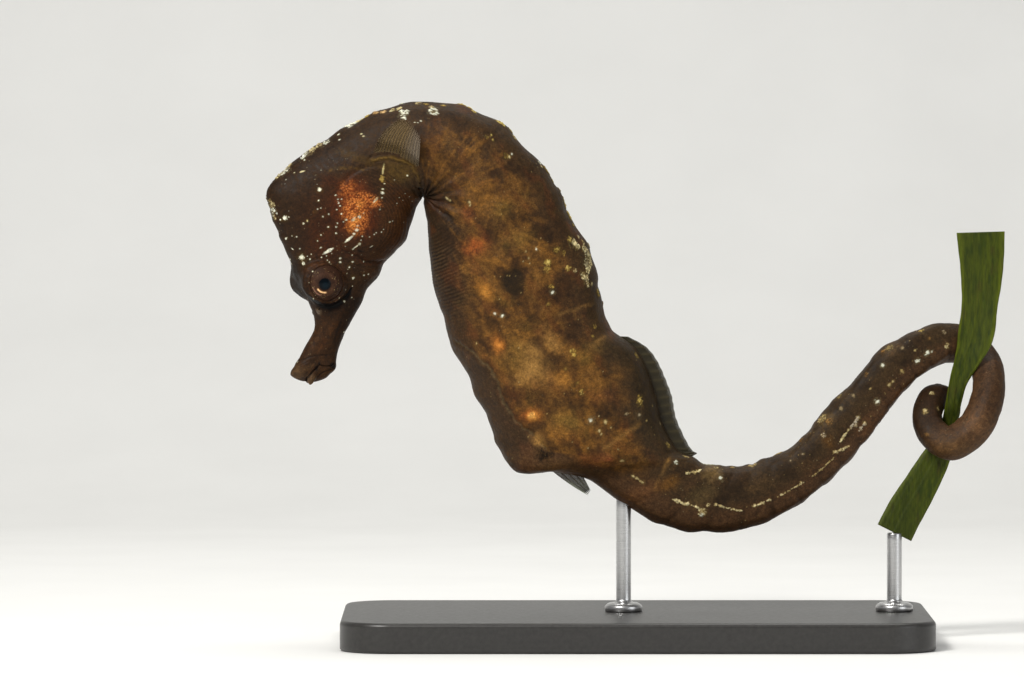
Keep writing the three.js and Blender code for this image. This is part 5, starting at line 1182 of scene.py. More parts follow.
tv = np.where(ti < N_S * COLS, tcol, mean_col[:, None]) / COLS * 0.485 + 0.005 + np.where(first, 0, 0.5)[:, None]
uvs[n_quads * 4 :, 0], uvs[n_quads * 4 :, 1] = tu.ravel(), tv.ravel()
uv.data.foreach_set("uv", uvs.ravel())


# ------------------------------------------------------------------ materials
def material(name):
    m = bpy.data.materials.new(name)
    m.use_nodes = True
    nt = m.node_tree
    return m, nt, nt.nodes["Principled BSDF"]


def node(nt, kind, **values):
    n = nt.nodes.new(kind)
    for key, value in values.items():
        if key in n.inputs:
            n.inputs[key].default_value = value
        else:
            setattr(n, key, value)
    return n


def ramp(nt, stops, source):
    r = nt.nodes.new("ShaderNodeValToRGB")
    while len(r.color_ramp.elements) < len(stops):
        r.color_ramp.elements.new(0.5)
    for e, (p, c) in zip(r.color_ramp.elements, stops):
        e.position = p
        e.color = (c[0], c[1], c[2], 1) if hasattr(c, "__len__") else (c, c, c, 1)
    nt.links.new(source, r.inputs["Fac"])
    return r


def painted_skin(name):
    """Matt, moist skin: its painted colours broken up by granules, threads, a dark net and flecks."""
    m, nt, b = material(name)
    tc = node(nt, "ShaderNodeTexCoord").outputs["Object"]

    def field(which):
        return node(nt, "ShaderNodeAttribute", attribute_name=which).outputs["Fac"]

    def noise_n(scale, detail=3.0, rough=0.6):
        n = node(nt, "ShaderNodeTexNoise", Scale=scale, Detail=detail, Roughness=rough)
        nt.links.new(tc, n.inputs["Vector"])
        return n.outputs["Fac"]

    def cells(scale, feature="F1"):
        n = node(nt, "ShaderNodeTexVoronoi", Scale=scale)
        n.feature = feature
        nt.links.new(tc, n.inputs["Vector"])
        return n.outputs["Distance"]

    def times(a, b_):
        n = node(nt, "ShaderNodeMath", operation="MULTIPLY")
        for i, v in enumerate((a, b_)):
            if hasattr(v, "links"):
                nt.links.new(v, n.inputs[i])
            else:
                n.inputs[i].default_value = v
        return n.outputs[0]

    def mix(a, b_, fac, blend="MIX"):
        n = node(nt, "ShaderNodeMix", data_type="RGBA", blend_type=blend)
        for slot_, v in ((6, a), (7, b_)):
            if hasattr(v, "links"):
                nt.links.new(v, n.inputs[slot_])
            else:
                n.inputs[slot_].default_value = (*v, 1)
        if hasattr(fac, "links"):
            nt.links.new(fac, n.inputs["Factor"])
        else:
            n.inputs["Factor"].default_value = fac
        return n.outputs[2]

    base = node(nt, "ShaderNodeAttribute", attribute_name="paint").outputs["Color"]
    fine_n, mid_n = noise_n(9000.0, 4.0), noise_n(3200.0, 3.0)
    base = mix(base, ramp(nt, [(0.25, 0.62), (0.75, 1.34)], fine_n).outputs["Color"], 1.0, "MULTIPLY")
    base = mix(base, ramp(nt, [(0.28, 0.66), (0.72, 1.36)], mid_n).outputs["Color"], 1.0, "MULTIPLY")
    # golden threads: where a noise crosses its middle
    thread_r = ramp(nt, [(0.455, 0.0), (0.5, 1.0), (0.545, 0.0)], noise_n(2300.0, 3.0, 0.65)).outputs["Color"]
    base = mix(base, (0.30, 0.155, 0.035), times(times(thread_r, field("gold")), 0.36))
    # a dark net between granules
    net_r = ramp(nt, [(0.0, 1.0), (0.10, 0.35), (0.22, 0.0)], cells(4200.0, "DISTANCE_TO_EDGE")).outputs["Color"]
    base = mix(base, (0.010, 0.0058, 0.0035), times(times(net_r, field("net")), 0.62))
    # glowing granules
    grain_r = ramp(nt, [(0.0, 1.0), (0.38, 0.75), (0.62, 0.0)], cells(6800.0)).outputs["Color"]
    base = mix(base, (0.88, 0.30, 0.060), times(times(grain_r, field("glow")), 0.62))
    glow_net = ramp(nt, [(0.0, 1.0), (0.16, 0.0)], cells(6200.0, "DISTANCE_TO_EDGE")).outputs["Color"]
    base = mix(base, (0.16, 0.032, 0.010), times(times(glow_net, field("glow")), 0.42))
    # pale flecks here and there
    fleck_r = ramp(nt, [(0.0, 1.0), (0.085, 0.8), (0.14, 0.0)], cells(2600.0)).outputs["Color"]
    fleck_r = times(fleck_r, ramp(nt, [(0.5, 0.0), (0.66, 1.0)], noise_n(900.0, 2.0)).outputs["Color"])
    base = mix(base, (0.42, 0.34, 0.18), times(times(fleck_r, field("fleck")), 0.8))
    nt.links.new(base, b.inputs["Base Color"])
    rr = node(nt, "ShaderNodeMapRange")
    rr.inputs["From Min"].default_value, rr.inputs["From Max"].default_value = 0.3, 0.7
    rr.inputs["To Min"].default_value, rr.inputs["To Max"].default_value = 0.46, 0.66
    nt.links.new(mid_n, rr.inputs["Value"])
    nt.links.new(rr.outputs["Result"], b.inputs["Roughness"])
    bump1 = node(nt, "ShaderNodeBump", Strength=0.6, Distance=0.022 * MM)
    nt.links.new(fine_n, bump1.inputs["Height"])
    bump2 = node(nt, "ShaderNodeBump", Strength=0.4, Distance=0.018 * MM)
    nt.links.new(cells(4950.0), bump2.inputs["Height"])
    nt.links.new(bump1.outputs["Normal"], bump2.inputs["Normal"])
    nt.links.new(bump2.outputs["Normal"], b.inputs["Normal"])
    b.inputs["Specular IOR Level"].default_value = 0.12
    b.inputs["Subsurface Weight"].default_value = 0.06
    b.inputs["Subsurface Radius"].default_value = (0.5, 0.25, 0.12)
    b.inputs["Subsurface Scale"].default_value = 0.5 * MM
    return m


skin.data.materials.append(painted_skin("seahorse_skin"))
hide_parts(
    "lower_jaw", "snout", "head", "neck", "trunk_front", "trunk_rear",
    "tail_base", "tail_middle", "tail_rear", "tail_coil", "tail_end",
)
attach(skin, "root")

# ------------------------------------------------------------------ eyes
GAZE_X, GAZE_Z = 0.20, -0.13  # the near pupil's place beside the eyeball's middle, seen from the left


def eyeball(label):
    E, A = EYES[label]
    sign = 1 if label == "left" else -1
    left_A = EYES["left"][1]
    up = -ed
    fwd = np.cross(left_A, up)
    # the near eye looks straight out to the animal's left; the far eye is its mirror image about the head's own midplane
    gx_, gz_ = GAZE_X, GAZE_Z
    world = np.array([gx_, -1.42, gz_])
    comp = np.array([world @ left_A, world @ up, world @ fwd])
    seg = 200
    th = np.concatenate([np.linspace(0.004, 0.62, 100, endpoint=False), np.linspace(0.62, 0.98, 30)]) * math.pi
    gaze = left_A * sign * comp[0] + up * comp[1] + fwd * comp[2]
    g = gaze / math.sqrt((gaze @ A) ** 2 / EYE_DEEP**2 + (gaze @ up) ** 2 / EYE_R**2 + (gaze @ fwd) ** 2 / EYE_R**2)
    axis = unit(g)
    a1 = unit(np.cross(axis, up))
    a2 = np.cross(axis, a1)
    pts = []
    for t_ in th:
        ph = np.linspace(0, 2 * math.pi, seg, endpoint=False)
        d = axis * math.cos(t_) + (a1 * np.cos(ph)[:, None] + a2 * np.sin(ph)[:, None]) * math.sin(t_)
        r_ = 1 / np.sqrt((d @ A) ** 2 / EYE_DEEP**2 + (d @ up) ** 2 / EYE_R**2 + (d @ fwd) ** 2 / EYE_R**2)
        pts.append(d * r_[:, None])
    ball = np.array(pts)
    flat = ball.reshape(-1, 3)
    dist = np.linalg.norm(flat - g, axis=1)
    lat = flat - (flat @ axis)[:, None] * axis
    ang = np.degrees(np.arctan2(flat[:, 2] - g[2], flat[:, 0] - g[0]))
    n2 = fbm(flat + 3.0, 0.5, 3, 12.0)
    n3 = fbm(flat, 0.18, 2, 31.0)
    # folds of skin round the iris; the pupil itself is smooth
    dish = 0.016 * n2 * smooth(0.75, 1.0, dist) - 0.012 * np.exp(-(((dist - 0.545) / 0.03) ** 2))
    dish += 0.022 * np.exp(-(((dist - 1.02 - 0.10 * n2) / 0.07) ** 2)) - 0.02 * np.exp(-(((dist - 1.22) / 0.045) ** 2))
    colr = np.tile(col(0.034, 0.0150, 0.0082), (len(flat), 1))

    def put(tint, m):
        nonlocal colr
        m = np.clip(m, 0, 1)[:, None]
        colr = colr * (1 - m) + np.asarray(tint) * m

    put(col(0.055, 0.025, 0.0115), smooth(0.0, 0.5, n2) * 0.6)
    put(col(0.024, 0.0105, 0.0060), smooth(0.0, 0.5, -n2 + 0.5 * n3) * 0.6)
    put(col(0.062, 0.027, 0.0145), np.exp(-(((dist - 0.86) / 0.12) ** 2)) * np.clip(0.45 + 0.6 * n2, 0, 1))
    # painted shade in the groove near the ball's rim
    put(col(0.030, 0.0140, 0.0080), np.exp(-(((dist - 1.22) / 0.04) ** 2)) * 0.4)
    # the iris: a bright golden bar below and in front of the pupil, fainter to both sides
    lower = smooth(-176, -140, ang) * (1 - smooth(-30, 15, ang))
    put(col(0.092, 0.042, 0.021), np.exp(-(((dist - 0.70) / 0.12) ** 2)) * lower * np.clip(0.6 + 0.5 * n3, 0, 1))
    put(col(0.30, 0.15, 0.10), np.exp(-(((dist - 0.99) / 0.05) ** 2)) * smooth(-172, -160, ang) * (1 - smooth(-120, -100, ang)) * 0.55)
    bar = smooth(-153, -141, ang) * (1 - smooth(-88, -76, ang))
    put(col(0.62, 0.31, 0.115), np.exp(-(((dist - 0.70) / 0.075) ** 4)) * bar * 0.9)
    put(col(1.0, 0.66, 0.34), np.exp(-(((dist - 0.70) / 0.042) ** 2)) * bar * 0.9)
    put(col(0.016, 0.0072, 0.0048), np.exp(-(((dist - 0.515) / 0.035) ** 2)) * 0.85)
    put(col(0.0020, 0.0036, 0.0052), 1 - smooth(0.455, 0.49, dist))
    put(col(0.003, 0.009, 0.014), (1 - smooth(0.10, 0.40, np.hypot(flat[:, 0] - g[0] - 0.06, flat[:, 2] - g[2] + 0.10))) * 0.8)
    rr = np.random.default_rng(7 if sign > 0 else 8)
    for _ in range(46):
        a_, d_ = rr.random() * 2 * math.pi, 0.85 + 0.55 * rr.random()
        c_ = unit(axis * math.cos(d_ / 1.55) + (a1 * math.cos(a_) + a2 * math.sin(a_)) * math.sin(d_ / 1.55))
        c_ = c_ / math.sqrt((c_ @ A) ** 2 / EYE_DEEP**2 + (c_ @ up) ** 2 / EYE_R**2 + (c_ @ fwd) ** 2 / EYE_R**2)
        r0 = 0.016 + 0.026 * rr.random() ** 2
        mm = 1 - smooth(0.7, 1.4, np.linalg.norm(flat - c_, axis=1) / r0)
        put(col(0.42, 0.30, 0.13), mm * (0.3 + 0.5 * rr.random()))
        dish += 0.012 * mm
    nrm = unit(flat)
    # under the skin the ball is slimmer than its opening lets see
    up_a = flat @ A
    side_v = flat - up_a[:, None] * A
    side_r = np.linalg.norm(side_v, axis=1)
    slim = np.where(side_r > 1.36, 1.36 + 0.10 * (1 - np.exp(-(side_r - 1.36) / 0.10)), side_r) / np.maximum(side_r, 1e-6)
    flat = side_v * slim[:, None] + A * (np.minimum(up_a, 9.0) * np.where(up_a < 0, 0.9, 1.0))[:, None]
    flat2 = flat + nrm * dish[:, None] + E
    q = grid_quads(len(th), seg, True)
    tip = len(flat2)
    pts2 = np.vstack([flat2, (g + E)[None], flat2[-seg:].mean(0)[None]])
    j = np.arange(seg)
    t1 = np.stack([(j + 1) % seg, j, np.full(seg, tip)], -1)
    last = (len(th) - 1) * seg
    t2 = np.stack([last + j, last + (j + 1) % seg, np.full(seg, tip + 1)], -1)
    ob = new_mesh("eye_%s_ball" % label, pts2, q, np.vstack([t1, t2]))
    paint(ob, np.vstack([colr, col(0.0045, 0.008, 0.012)[None], colr[-1:]]))
    wet = np.append(dist, [0.0, 3.0])
    glossy = np.concatenate([wet[q].max(1) < 0.50, np.ones(seg, bool), np.zeros(seg, bool)])
    return ob, glossy


def eye_material(name, rough, specular, bump):
    m, nt, b = material(name)
    at_ = node(nt, "ShaderNodeAttribute", attribute_name="paint")
    tc = node(nt, "ShaderNodeTexCoord")
    n = node(nt, "ShaderNodeTexNoise", Scale=10000.0, Detail=3.0)
    nt.links.new(tc.outputs["Object"], n.inputs["Vector"])
    mott = ramp(nt, [(0.3, 0.75), (0.7, 1.25)], n.outputs["Fac"])
    mul = node(nt, "ShaderNodeMix", data_type="RGBA", blend_type="MULTIPLY")
    mul.inputs["Factor"].default_value = 1.0
    nt.links.new(at_.outputs["Color"], mul.inputs[6])
    nt.links.new(mott.outputs["Color"], mul.inputs[7])
    nt.links.new(mul.outputs[2], b.inputs["Base Color"])
    b.inputs["Roughness"].default_value = rough
    b.inputs["Specular IOR Level"].default_value = specular
    if bump:
        bp = node(nt, "ShaderNodeBump", Strength=0.35, Distance=bump * MM)
        nt.links.new(n.outputs["Fac"], bp.inputs["Height"])
        nt.links.new(bp.outputs["Normal"], b.inputs["Normal"])
    return m


lid_mat, pupil_mat = eye_material("eye_lids", 0.55, 0.10, 0.012), eye_material("eye_pupil", 0.06, 0.08, 0.0)
for label in ("left", "right"):
    ball_ob, glossy = eyeball(label)
    ball_ob.data.materials.append(lid_mat)
    ball_ob.data.materials.append(pupil_mat)
    ball_ob.data.polygons.foreach_set("material_index", glossy.astype(np.int32))
    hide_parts("eye_" + label)
    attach(ball_ob, "root")


# ------------------------------------------------------------------ fins
def fin_sheet(name, rows, rays, thick=0.035, ray=0.055, tint=None, web=0.5, bone=0.85, fade=None):
    """A thin webbed fin. rows is a grid of points from root to margin; rays counts the rays across; sides are closed."""
    rows = np.asarray(rows)
    n, m, _ = rows.shape
    nor = grid_normals(rows, False)
    r = np.linspace(0, 1, m)
    q = np.linspace(0, 1, n)[:, None]
    ph = r * (rays - 1)
    dist = np.abs(ph - np.round(ph))[None]  # 0 on a ray, 0.5 between
    half_web = 0.5
    onray = np.exp(-((dist / 0.16) ** 2))
    t = thick / 2 + (ray / 2) * onray * (1 - 0.55 * q)
    edge = np.minimum(np.minimum(r, 1 - r)[None] * m / 3, (1 - q) * n / 2 + 0.35)
    t = t * np.clip(edge, 0.25, 1)
    top = rows + nor * t[..., None]
    low = rows - nor * t[..., None]
    pts = np.vstack([top.reshape(-1, 3), low.reshape(-1, 3)])
    f = grid_quads(n, m, False)
    N = n * m
    rim = [j for j in range(m)] + [i * m + m - 1 for i in range(1, n)] + [(n - 1) * m + j for j in range(m - 2, -1, -1)] + [i * m for i in range(n - 2, 0, -1)]
    rim = np.array(rim)
    nxt = np.roll(rim, -1)
    side = np.stack([nxt, rim, rim + N, nxt + N], -1)
    ob = new_mesh(name, pts, np.vstack([f, f[:, ::-1] + N, side]))
    onr = np.repeat(onray, n, 0) if onray.shape[0] == 1 else onray
    qq = np.repeat(q, m, 1)
    solid = web + (bone - web) * onr
    if fade is not None:
        solid = solid * fade(qq, onr, np.repeat(r[None], n, 0))
    number(ob, np.concatenate([np.clip(solid, 0.02, 1).ravel()] * 2), "solid")
    base = tint(qq, onr, np.repeat(r[None], n, 0), top)
    paint(ob, np.concatenate([base.reshape(-1, 3)] * 2))
    return ob


def fin_material(name):
    m, nt, b = material(name)
    at_ = node(nt, "ShaderNodeAttribute", attribute_name="paint")
    tc = node(nt, "ShaderNodeTexCoord")
    n = node(nt, "ShaderNodeTexNoise", Scale=7000.0, Detail=3.0)
    nt.links.new(tc.outputs["Object"], n.inputs["Vector"])
    mott = ramp(nt, [(0.3, 0.88), (0.7, 1.1)], n.outputs["Fac"])
    mul = node(nt, "ShaderNodeMix", data_type="RGBA", blend_type="MULTIPLY")
    mul.inputs["Factor"].default_value = 1.0
    nt.links.new(at_.outputs["Color"], mul.inputs[6])
    nt.links.new(mott.outputs["Color"], mul.inputs[7])
    nt.links.new(mul.outputs[2], b.inputs["Base Color"])
    solid = node(nt, "ShaderNodeAttribute", attribute_name="solid")
    nt.links.new(solid.outputs["Fac"], b.inputs["Alpha"])
    b.inputs["Roughness"].default_value = 0.5
    b.inputs["Specular IOR Level"].default_value = 0.18
    bp = node(nt, "ShaderNodeBump", Strength=0.4, Distance=0.015 * MM)
    nt.links.new(n.outputs["Fac"], bp.inputs["Height"])
    nt.links.new(bp.outputs["Normal"], b.inputs["Normal"])
    return m


PECTORAL = {"base": ((-21.28, 39.08), (-17.68, 37.88)), "tips": ((-19.25, 41.78), (-17.5, 40.25)), "base_arch": 0.45, "tip_arch": 0.5}
Pg = P.reshape(N_S, COLS, 3)


def skin_reach(x, z, sign):
    """How far the finished skin reaches sideways at x, z."""
    side = P[(Tf <= math.pi) if sign > 0 else (Tf >= math.pi)]
    side = side[(side[:, 2] > 36) & (side[:, 0] > -24) & (side[:, 0] < -15)]
    out_ = np.empty(len(x))
    for k_ in range(len(x)):
        d = (side[:, 0] - x[k_]) ** 2 + (side[:, 2] - z[k_]) ** 2
        out_[k_] = np.abs(side[np.argpartition(d, 6)[:6], 1]).mean()
    return out_


def pectoral(label, sign):
    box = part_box("pectoral_fin_" + label)
    lo, hi = abs(box[0][1]) / MM, abs(box[1][1]) / MM
    root, tipy = min(lo, hi) + 0.25, max(lo, hi) - 0.25
    n, m, rays = 46, 15 * 9 + 1, 16
    q = np.linspace(0, 1, n)[:, None]
    r = np.linspace(0, 1, m)[None]
    arch = np.sin(math.pi * r)
    p = PECTORAL
    bx = p["base"][0][0] + (p["base"][1][0] - p["base"][0][0]) * r
    bz = p["base"][0][1] + (p["base"][1][1] - p["base"][0][1]) * r + p["base_arch"] * arch
    tx = p["tips"][0][0] + (p["tips"][1][0] - p["tips"][0][0]) * r
    tz = p["tips"][0][1] + (p["tips"][1][1] - p["tips"][0][1]) * r + p["tip_arch"] * arch
    scallop = 0.05 * np.cos(2 * math.pi * r * (rays - 1))
    qq = q * (1 + scallop * q**3)
    x, z = bx + (tx - bx) * qq, bz + (tz - bz) * qq
    lean = (1 - r) * np.sin(math.pi * q) * 0.28
    x, z = x - lean, z + lean
    reach = skin_reach(x[0], z[0], sign)[None]
    steps = np.linspace(0, n - 1, 8).round().astype(int)
    under_fin = np.array([skin_reach(x[i_, ::5], z[i_, ::5], sign) for i_ in steps])
    cols_ = np.arange(m)

    def calm(a_, times_):
        for _ in range(times_):
            a_[:, 1:-1] = (a_[:, :-2] + 2 * a_[:, 1:-1] + a_[:, 2:]) / 4
        return a_

    reach = calm(reach, 60)
    by_row = np.array([np.interp(cols_, cols_[::5], row_) for row_ in under_fin])
    under_fin = np.array([np.interp(np.arange(n), steps, by_row[:, c_]) for c_ in range(m)]).T
    flare = np.sin(q * math.pi / 2)
    start = reach - 0.06
    outy = root - 0.05 + (tipy - root) * flare
    blend = smooth(0.0, 0.32, q)
    y = start * (1 - blend) + np.maximum(outy, start + 0.1) * blend
    under_fin = calm(under_fin, 80)
    y = np.maximum(y, under_fin + (0.20 + 0.16 * (1 - smooth(0.15, 0.6, r))) * blend - 0.06 * (1 - blend))
    y = calm(y, 10)
    for _ in range(6):
        y[1:-1] = (y[:-2] + 2 * y[1:-1] + y[2:]) / 4
    y = y + 0.016 * np.cos(2 * math.pi * r * (rays - 1)) * smooth(0.05, 0.5, q)
    rows = np.stack([x, -sign * y, z], -1)

    def tint(qv, on, rv, top):
        if sign < 0:
            rv = 1 - rv
        own = 0.85 + 0.30 * np.sin(np.round(rv * (rays - 1)) * 2.4 + 1.0)
        w = smooth(0.50, 0.92, rv)[..., None]
        c_ = col(0.125, 0.082, 0.034) * (1 - w) + col(0.145, 0.112, 0.078) * w
        c_ = c_ * ((0.80 + 0.34 * on * own) * (1 - 0.25 * (1 - smooth(0.0, 0.22, rv))))[..., None]
        rootc = col(0.080, 0.050, 0.018)
        f = (1 - smooth(0.0, 0.26, qv))[..., None]
        return c_ * (1 - f) + rootc * f

    def fade(qv, on, rv):
        if sign < 0:
            rv = 1 - rv
        return (1 - 0.45 * smooth(0.72, 1.0, qv)) * (0.55 + 0.45 * smooth(0.0, 0.14, rv)) + 0.35 * (1 - smooth(0.0, 0.2, qv))

    ob = fin_sheet("pectoral_fin_%s_web" % label, rows if sign > 0 else rows[:, ::-1], rays, 0.03, 0.035, tint, 0.62, 0.86, fade)
    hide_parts("pectoral_fin_" + label)
    return ob


DORSAL_EDGE = [(630.6, 338), (642, 347.5), (659.5, 372.6), (673, 405), (684.6, 432), (689.4, 453.6)]  # its free margin, marking units


def dorsal():
    n, m, rays = 34, 17 * 10 + 1, 18
    s0, s1 = at("trunk_5") + 1.1, at("tail_root") + 0.1
    q = np.linspace(0, 1, n)
    r = np.linspace(0, 1, m)
    rows = np.empty((n, m, 3))
    for j, rv in enumerate(r):
        s_ = s0 + (s1 - s0) * rv
        lobe_ = math.sin(math.pi * min(1, 0.06 + 0.9 * rv)) ** (0.55 + 0.55 * (1 - min(1.0, rv / 0.5)))
        tall = 1.05 * (0.15 + 0.85 * lobe_)
        tall *= 1 + 0.02 * math.cos(2 * math.pi * rv * (rays - 1)) + 0.02 * math.sin(rv * 17)
        low_end = 1 - smooth(0.90, 1.0, rv)
        ss = s_ + 0.7 * q * 0.4
        c_, dn, lf, hf, *_ = section(ss)
        fold_ = 0.014 * math.cos(2 * math.pi * rv * (rays - 1)) * smooth(0.1, 0.6, q)
        sway = 0.08 * math.sin(rv * 7.0) * q**2
        upv = hf - 0.15 + ((tall + 0.33) * low_end - 0.10 * (1 - low_end)) * q
        rows[:, j] = c_ - dn * upv[:, None] + lf * (fold_ + sway)[:, None]

    def tint(qv, on, rv, top):
        c_ = col(0.030, 0.0235, 0.0105) * (0.75 + 0.6 * on[..., None])
        edge = smooth(0.82, 1.0, qv)[..., None]
        c_ = c_ * (1 - 0.35 * edge) + col(0.11, 0.095, 0.06) * 0.35 * edge
        rootc = col(0.030, 0.020, 0.010)
        f = (1 - smooth(0.0, 0.4, qv))[..., None]
        return c_ * (1 - f) + rootc * f

    def fade(qv, on, rv):
        return 1 - 0.30 * smooth(0.7, 1.0, qv)

    ob = fin_sheet("dorsal_fin_web", rows, rays, 0.035, 0.035, tint, 0.94, 0.98, fade)
    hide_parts("dorsal_fin")
    return ob


def anal():
    A_ = {"from": (-7.15, 13.75), "to": (-4.7, 13.55), "tip_from": (-4.16, 11.72), "tip_to": (-3.95, 12.1)}
    n, m, rays = 30, 41, 5
    q = np.linspace(0, 1, n)[:, None]
    r = np.linspace(0, 1, m)[None]
    qq = q * (1 - 0.10 * (0.5 - 0.5 * np.cos(2 * math.pi * r * (rays - 1))) * q**2)
    x = (A_["from"][0] * (1 - r) + A_["to"][0] * r) * (1 - qq) + (A_["tip_from"][0] * (1 - r) + A_["tip_to"][0] * r) * qq
    z = (A_["from"][1] * (1 - r) + A_["to"][1] * r) * (1 - qq) + (A_["tip_from"][1] * (1 - r) + A_["tip_to"][1] * r) * qq
    z = z - 0.10 * np.sin(math.pi * qq) * (1 - r)
    y = 0.05 + 0.05 * np.cos(2 * math.pi * r * (rays - 1)) * q
    rows = np.stack([x, y, z], -1)

    def tint(qv, on, rv, top):
        lead = np.exp(-((rv / 0.16) ** 2))[..., None]
        c_ = col(0.120, 0.115, 0.075) * (0.7 + 0.7 * on[..., None])
        c_ = c_ * (1 - lead) + col(0.33, 0.37, 0.25) * lead
        f = (1 - smooth(0.25, 0.6, qv))[..., None]
        return c_ * (1 - f) + col(0.055, 0.040, 0.025) * f

    ob = fin_sheet("anal_fin_web", rows, rays, 0.04, 0.05, tint, 0.72, 0.92)
    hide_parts("anal_fin")
    return ob


fins = [pectoral("left", 1), pectoral("right", -1), dorsal(), anal()]
fin_mat = fin_material("fin_web")
for ob in fins:
    ob.data.materials.append(fin_mat)
    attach(ob, "root")


# ------------------------------------------------------------------ the seagrass blade
def blade():
    run_ = np.concatenate([[0], np.cumsum([np.linalg.norm(np.subtract(BLADE[i][0], BLADE[i - 1][0])) for i in range(1, len(BLADE))])])
    rows_ = np.array([[*c_, w_, t_, d_] for c_, w_, t_, d_ in BLADE])
    n, m = 340, 96
    s_ = np.linspace(0, run_[-1], n)
    p = hermite(run_, rows_, s_)
    e = 0.01
    al = unit(hermite(run_, rows_, np.minimum(s_ + e, run_[-1]))[:, :3] - hermite(run_, rows_, np.maximum(s_ - e, 0))[:, :3])
    back = unit(np.array([0, 1.0, 0]) - al * al[:, 1:2])
    right = np.cross(al, back)
    turn = np.radians(p[:, 5:6])
    flat = back * np.cos(turn) + right * np.sin(turn)
    wide = np.cross(al, flat)
    a = np.linspace(0, 2 * math.pi, m, endpoint=False)
    across = np.cos(a)[None]
    veins = 0.5 + 0.5 * np.cos(across * p[:, 3:4] * 2 * math.pi / 0.42)
    mid = np.exp(-((across / 0.07) ** 2))
    half_t = p[:, 4:5] * 0.80 * np.sign(np.sin(a))[None] * np.abs(np.sin(a))[None] ** 0.75
    half_t = half_t * (1 + 0.10 * (veins - 0.5) + 0.12 * mid)
    margin = np.sin(s_ * 1.7)[:, None] * 0.012 + np.sin(s_ * 4.3 + 1)[:, None] * 0.006
    x_ = across * (p[:, 3:4] + margin)
    pts = p[:, None, :3] + wide[:, None] * x_[..., None] + flat[:, None] * half_t[..., None]
    f = pts.reshape(-1, 3)
    n1, n2 = fbm(f * np.array([1, 1, 0.25]), 0.9, 3, 2.0), fbm(f * np.array([1, 1, 0.16]), 0.30, 3, 8.0)
    ac = np.abs(np.tile(np.cos(a), n))
    cl = np.tile(col(0.044, 0.056, 0.0020), (len(f), 1))

    def put(tint, mk):
        nonlocal cl
        mk = np.clip(mk, 0, 1)[:, None]
        cl = cl * (1 - mk) + np.asarray(tint) * mk

    put(col(0.015, 0.026, 0.0012), smooth(-0.1, 0.45, n2) * 0.85)
    put(col(0.012, 0.019, 0.0015), smooth(0.05, 0.5, -n1) * 0.5)
    put(col(0.085, 0.105, 0.0050), smooth(0.74, 0.92, ac) * 0.75)
    put(col(0.026, 0.040, 0.0020), veins.ravel() * 0.35)
    put(col(0.062, 0.046, 0.0070), smooth(0.25, 0.5, n1 + 0.5 * n2) * 0.35)
    low_part = 1 - smooth(8.8, 14.0, f[:, 2])
    put(col(0.030, 0.040, 0.0030), low_part * 0.4)
    q = grid_quads(n, m, True, flip=True)
    j = np.arange(m)
    caps, extra = [], []
    for row_, fl in ((0, False), (n - 1, True)):
        extra.append(pts[row_].mean(0))
        t_ = np.stack([row_ * m + j, row_ * m + (j + 1) % m, np.full(m, len(f) + len(extra) - 1)], -1)
        caps.append(t_[:, ::-1] if fl else t_)
    ob = new_mesh("perch_blade_leaf", np.vstack([f, extra]), q, np.vstack(caps))
    paint(ob, np.vstack([cl, col(0.09, 0.10, 0.02)[None], col(0.09, 0.10, 0.02)[None]]))
    m_, nt, b = material("seagrass_leaf")
    at_ = node(nt, "ShaderNodeAttribute", attribute_name="paint")
    tc = node(nt, "ShaderNodeTexCoord")
    mp = node(nt, "ShaderNodeMapping")
    mp.inputs["Scale"].default_value = (1, 1, 0.12)
    nt.links.new(tc.outputs["Object"], mp.inputs["Vector"])
    ns = node(nt, "ShaderNodeTexNoise", Scale=9000.0, Detail=4.0, Roughness=0.65)
    nt.links.new(mp.outputs["Vector"], ns.inputs["Vector"])
    mott = ramp(nt, [(0.3, 0.62), (0.7, 1.3)], ns.outputs["Fac"])
    mul = node(nt, "ShaderNodeMix", data_type="RGBA", blend_type="MULTIPLY")
    mul.inputs["Factor"].default_value = 1.0
    nt.links.new(at_.outputs["Color"], mul.inputs[6])
    nt.links.new(mott.outputs["Color"], mul.inputs[7])
    nt.links.new(mul.outputs[2], b.inputs["Base Color"])
    bp = node(nt, "ShaderNodeBump", Strength=0.5, Distance=0.02 * MM)
    nt.links.new(ns.outputs["Fac"], bp.inputs["Height"])
    nt.links.new(bp.outputs["Normal"], b.inputs["Normal"])
    b.inputs["Roughness"].default_value = 0.5
    b.inputs["Specular IOR Level"].default_value = 0.15
    b.inputs["Subsurface Weight"].default_value = 0.10
    b.inputs["Subsurface Radius"].default_value = (0.3, 0.5, 0.1)
    b.inputs["Subsurface Scale"].default_value = 0.5 * MM
    ob.data.materials.append(m_)
    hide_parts("perch_blade")
    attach(ob, "root")


blade()


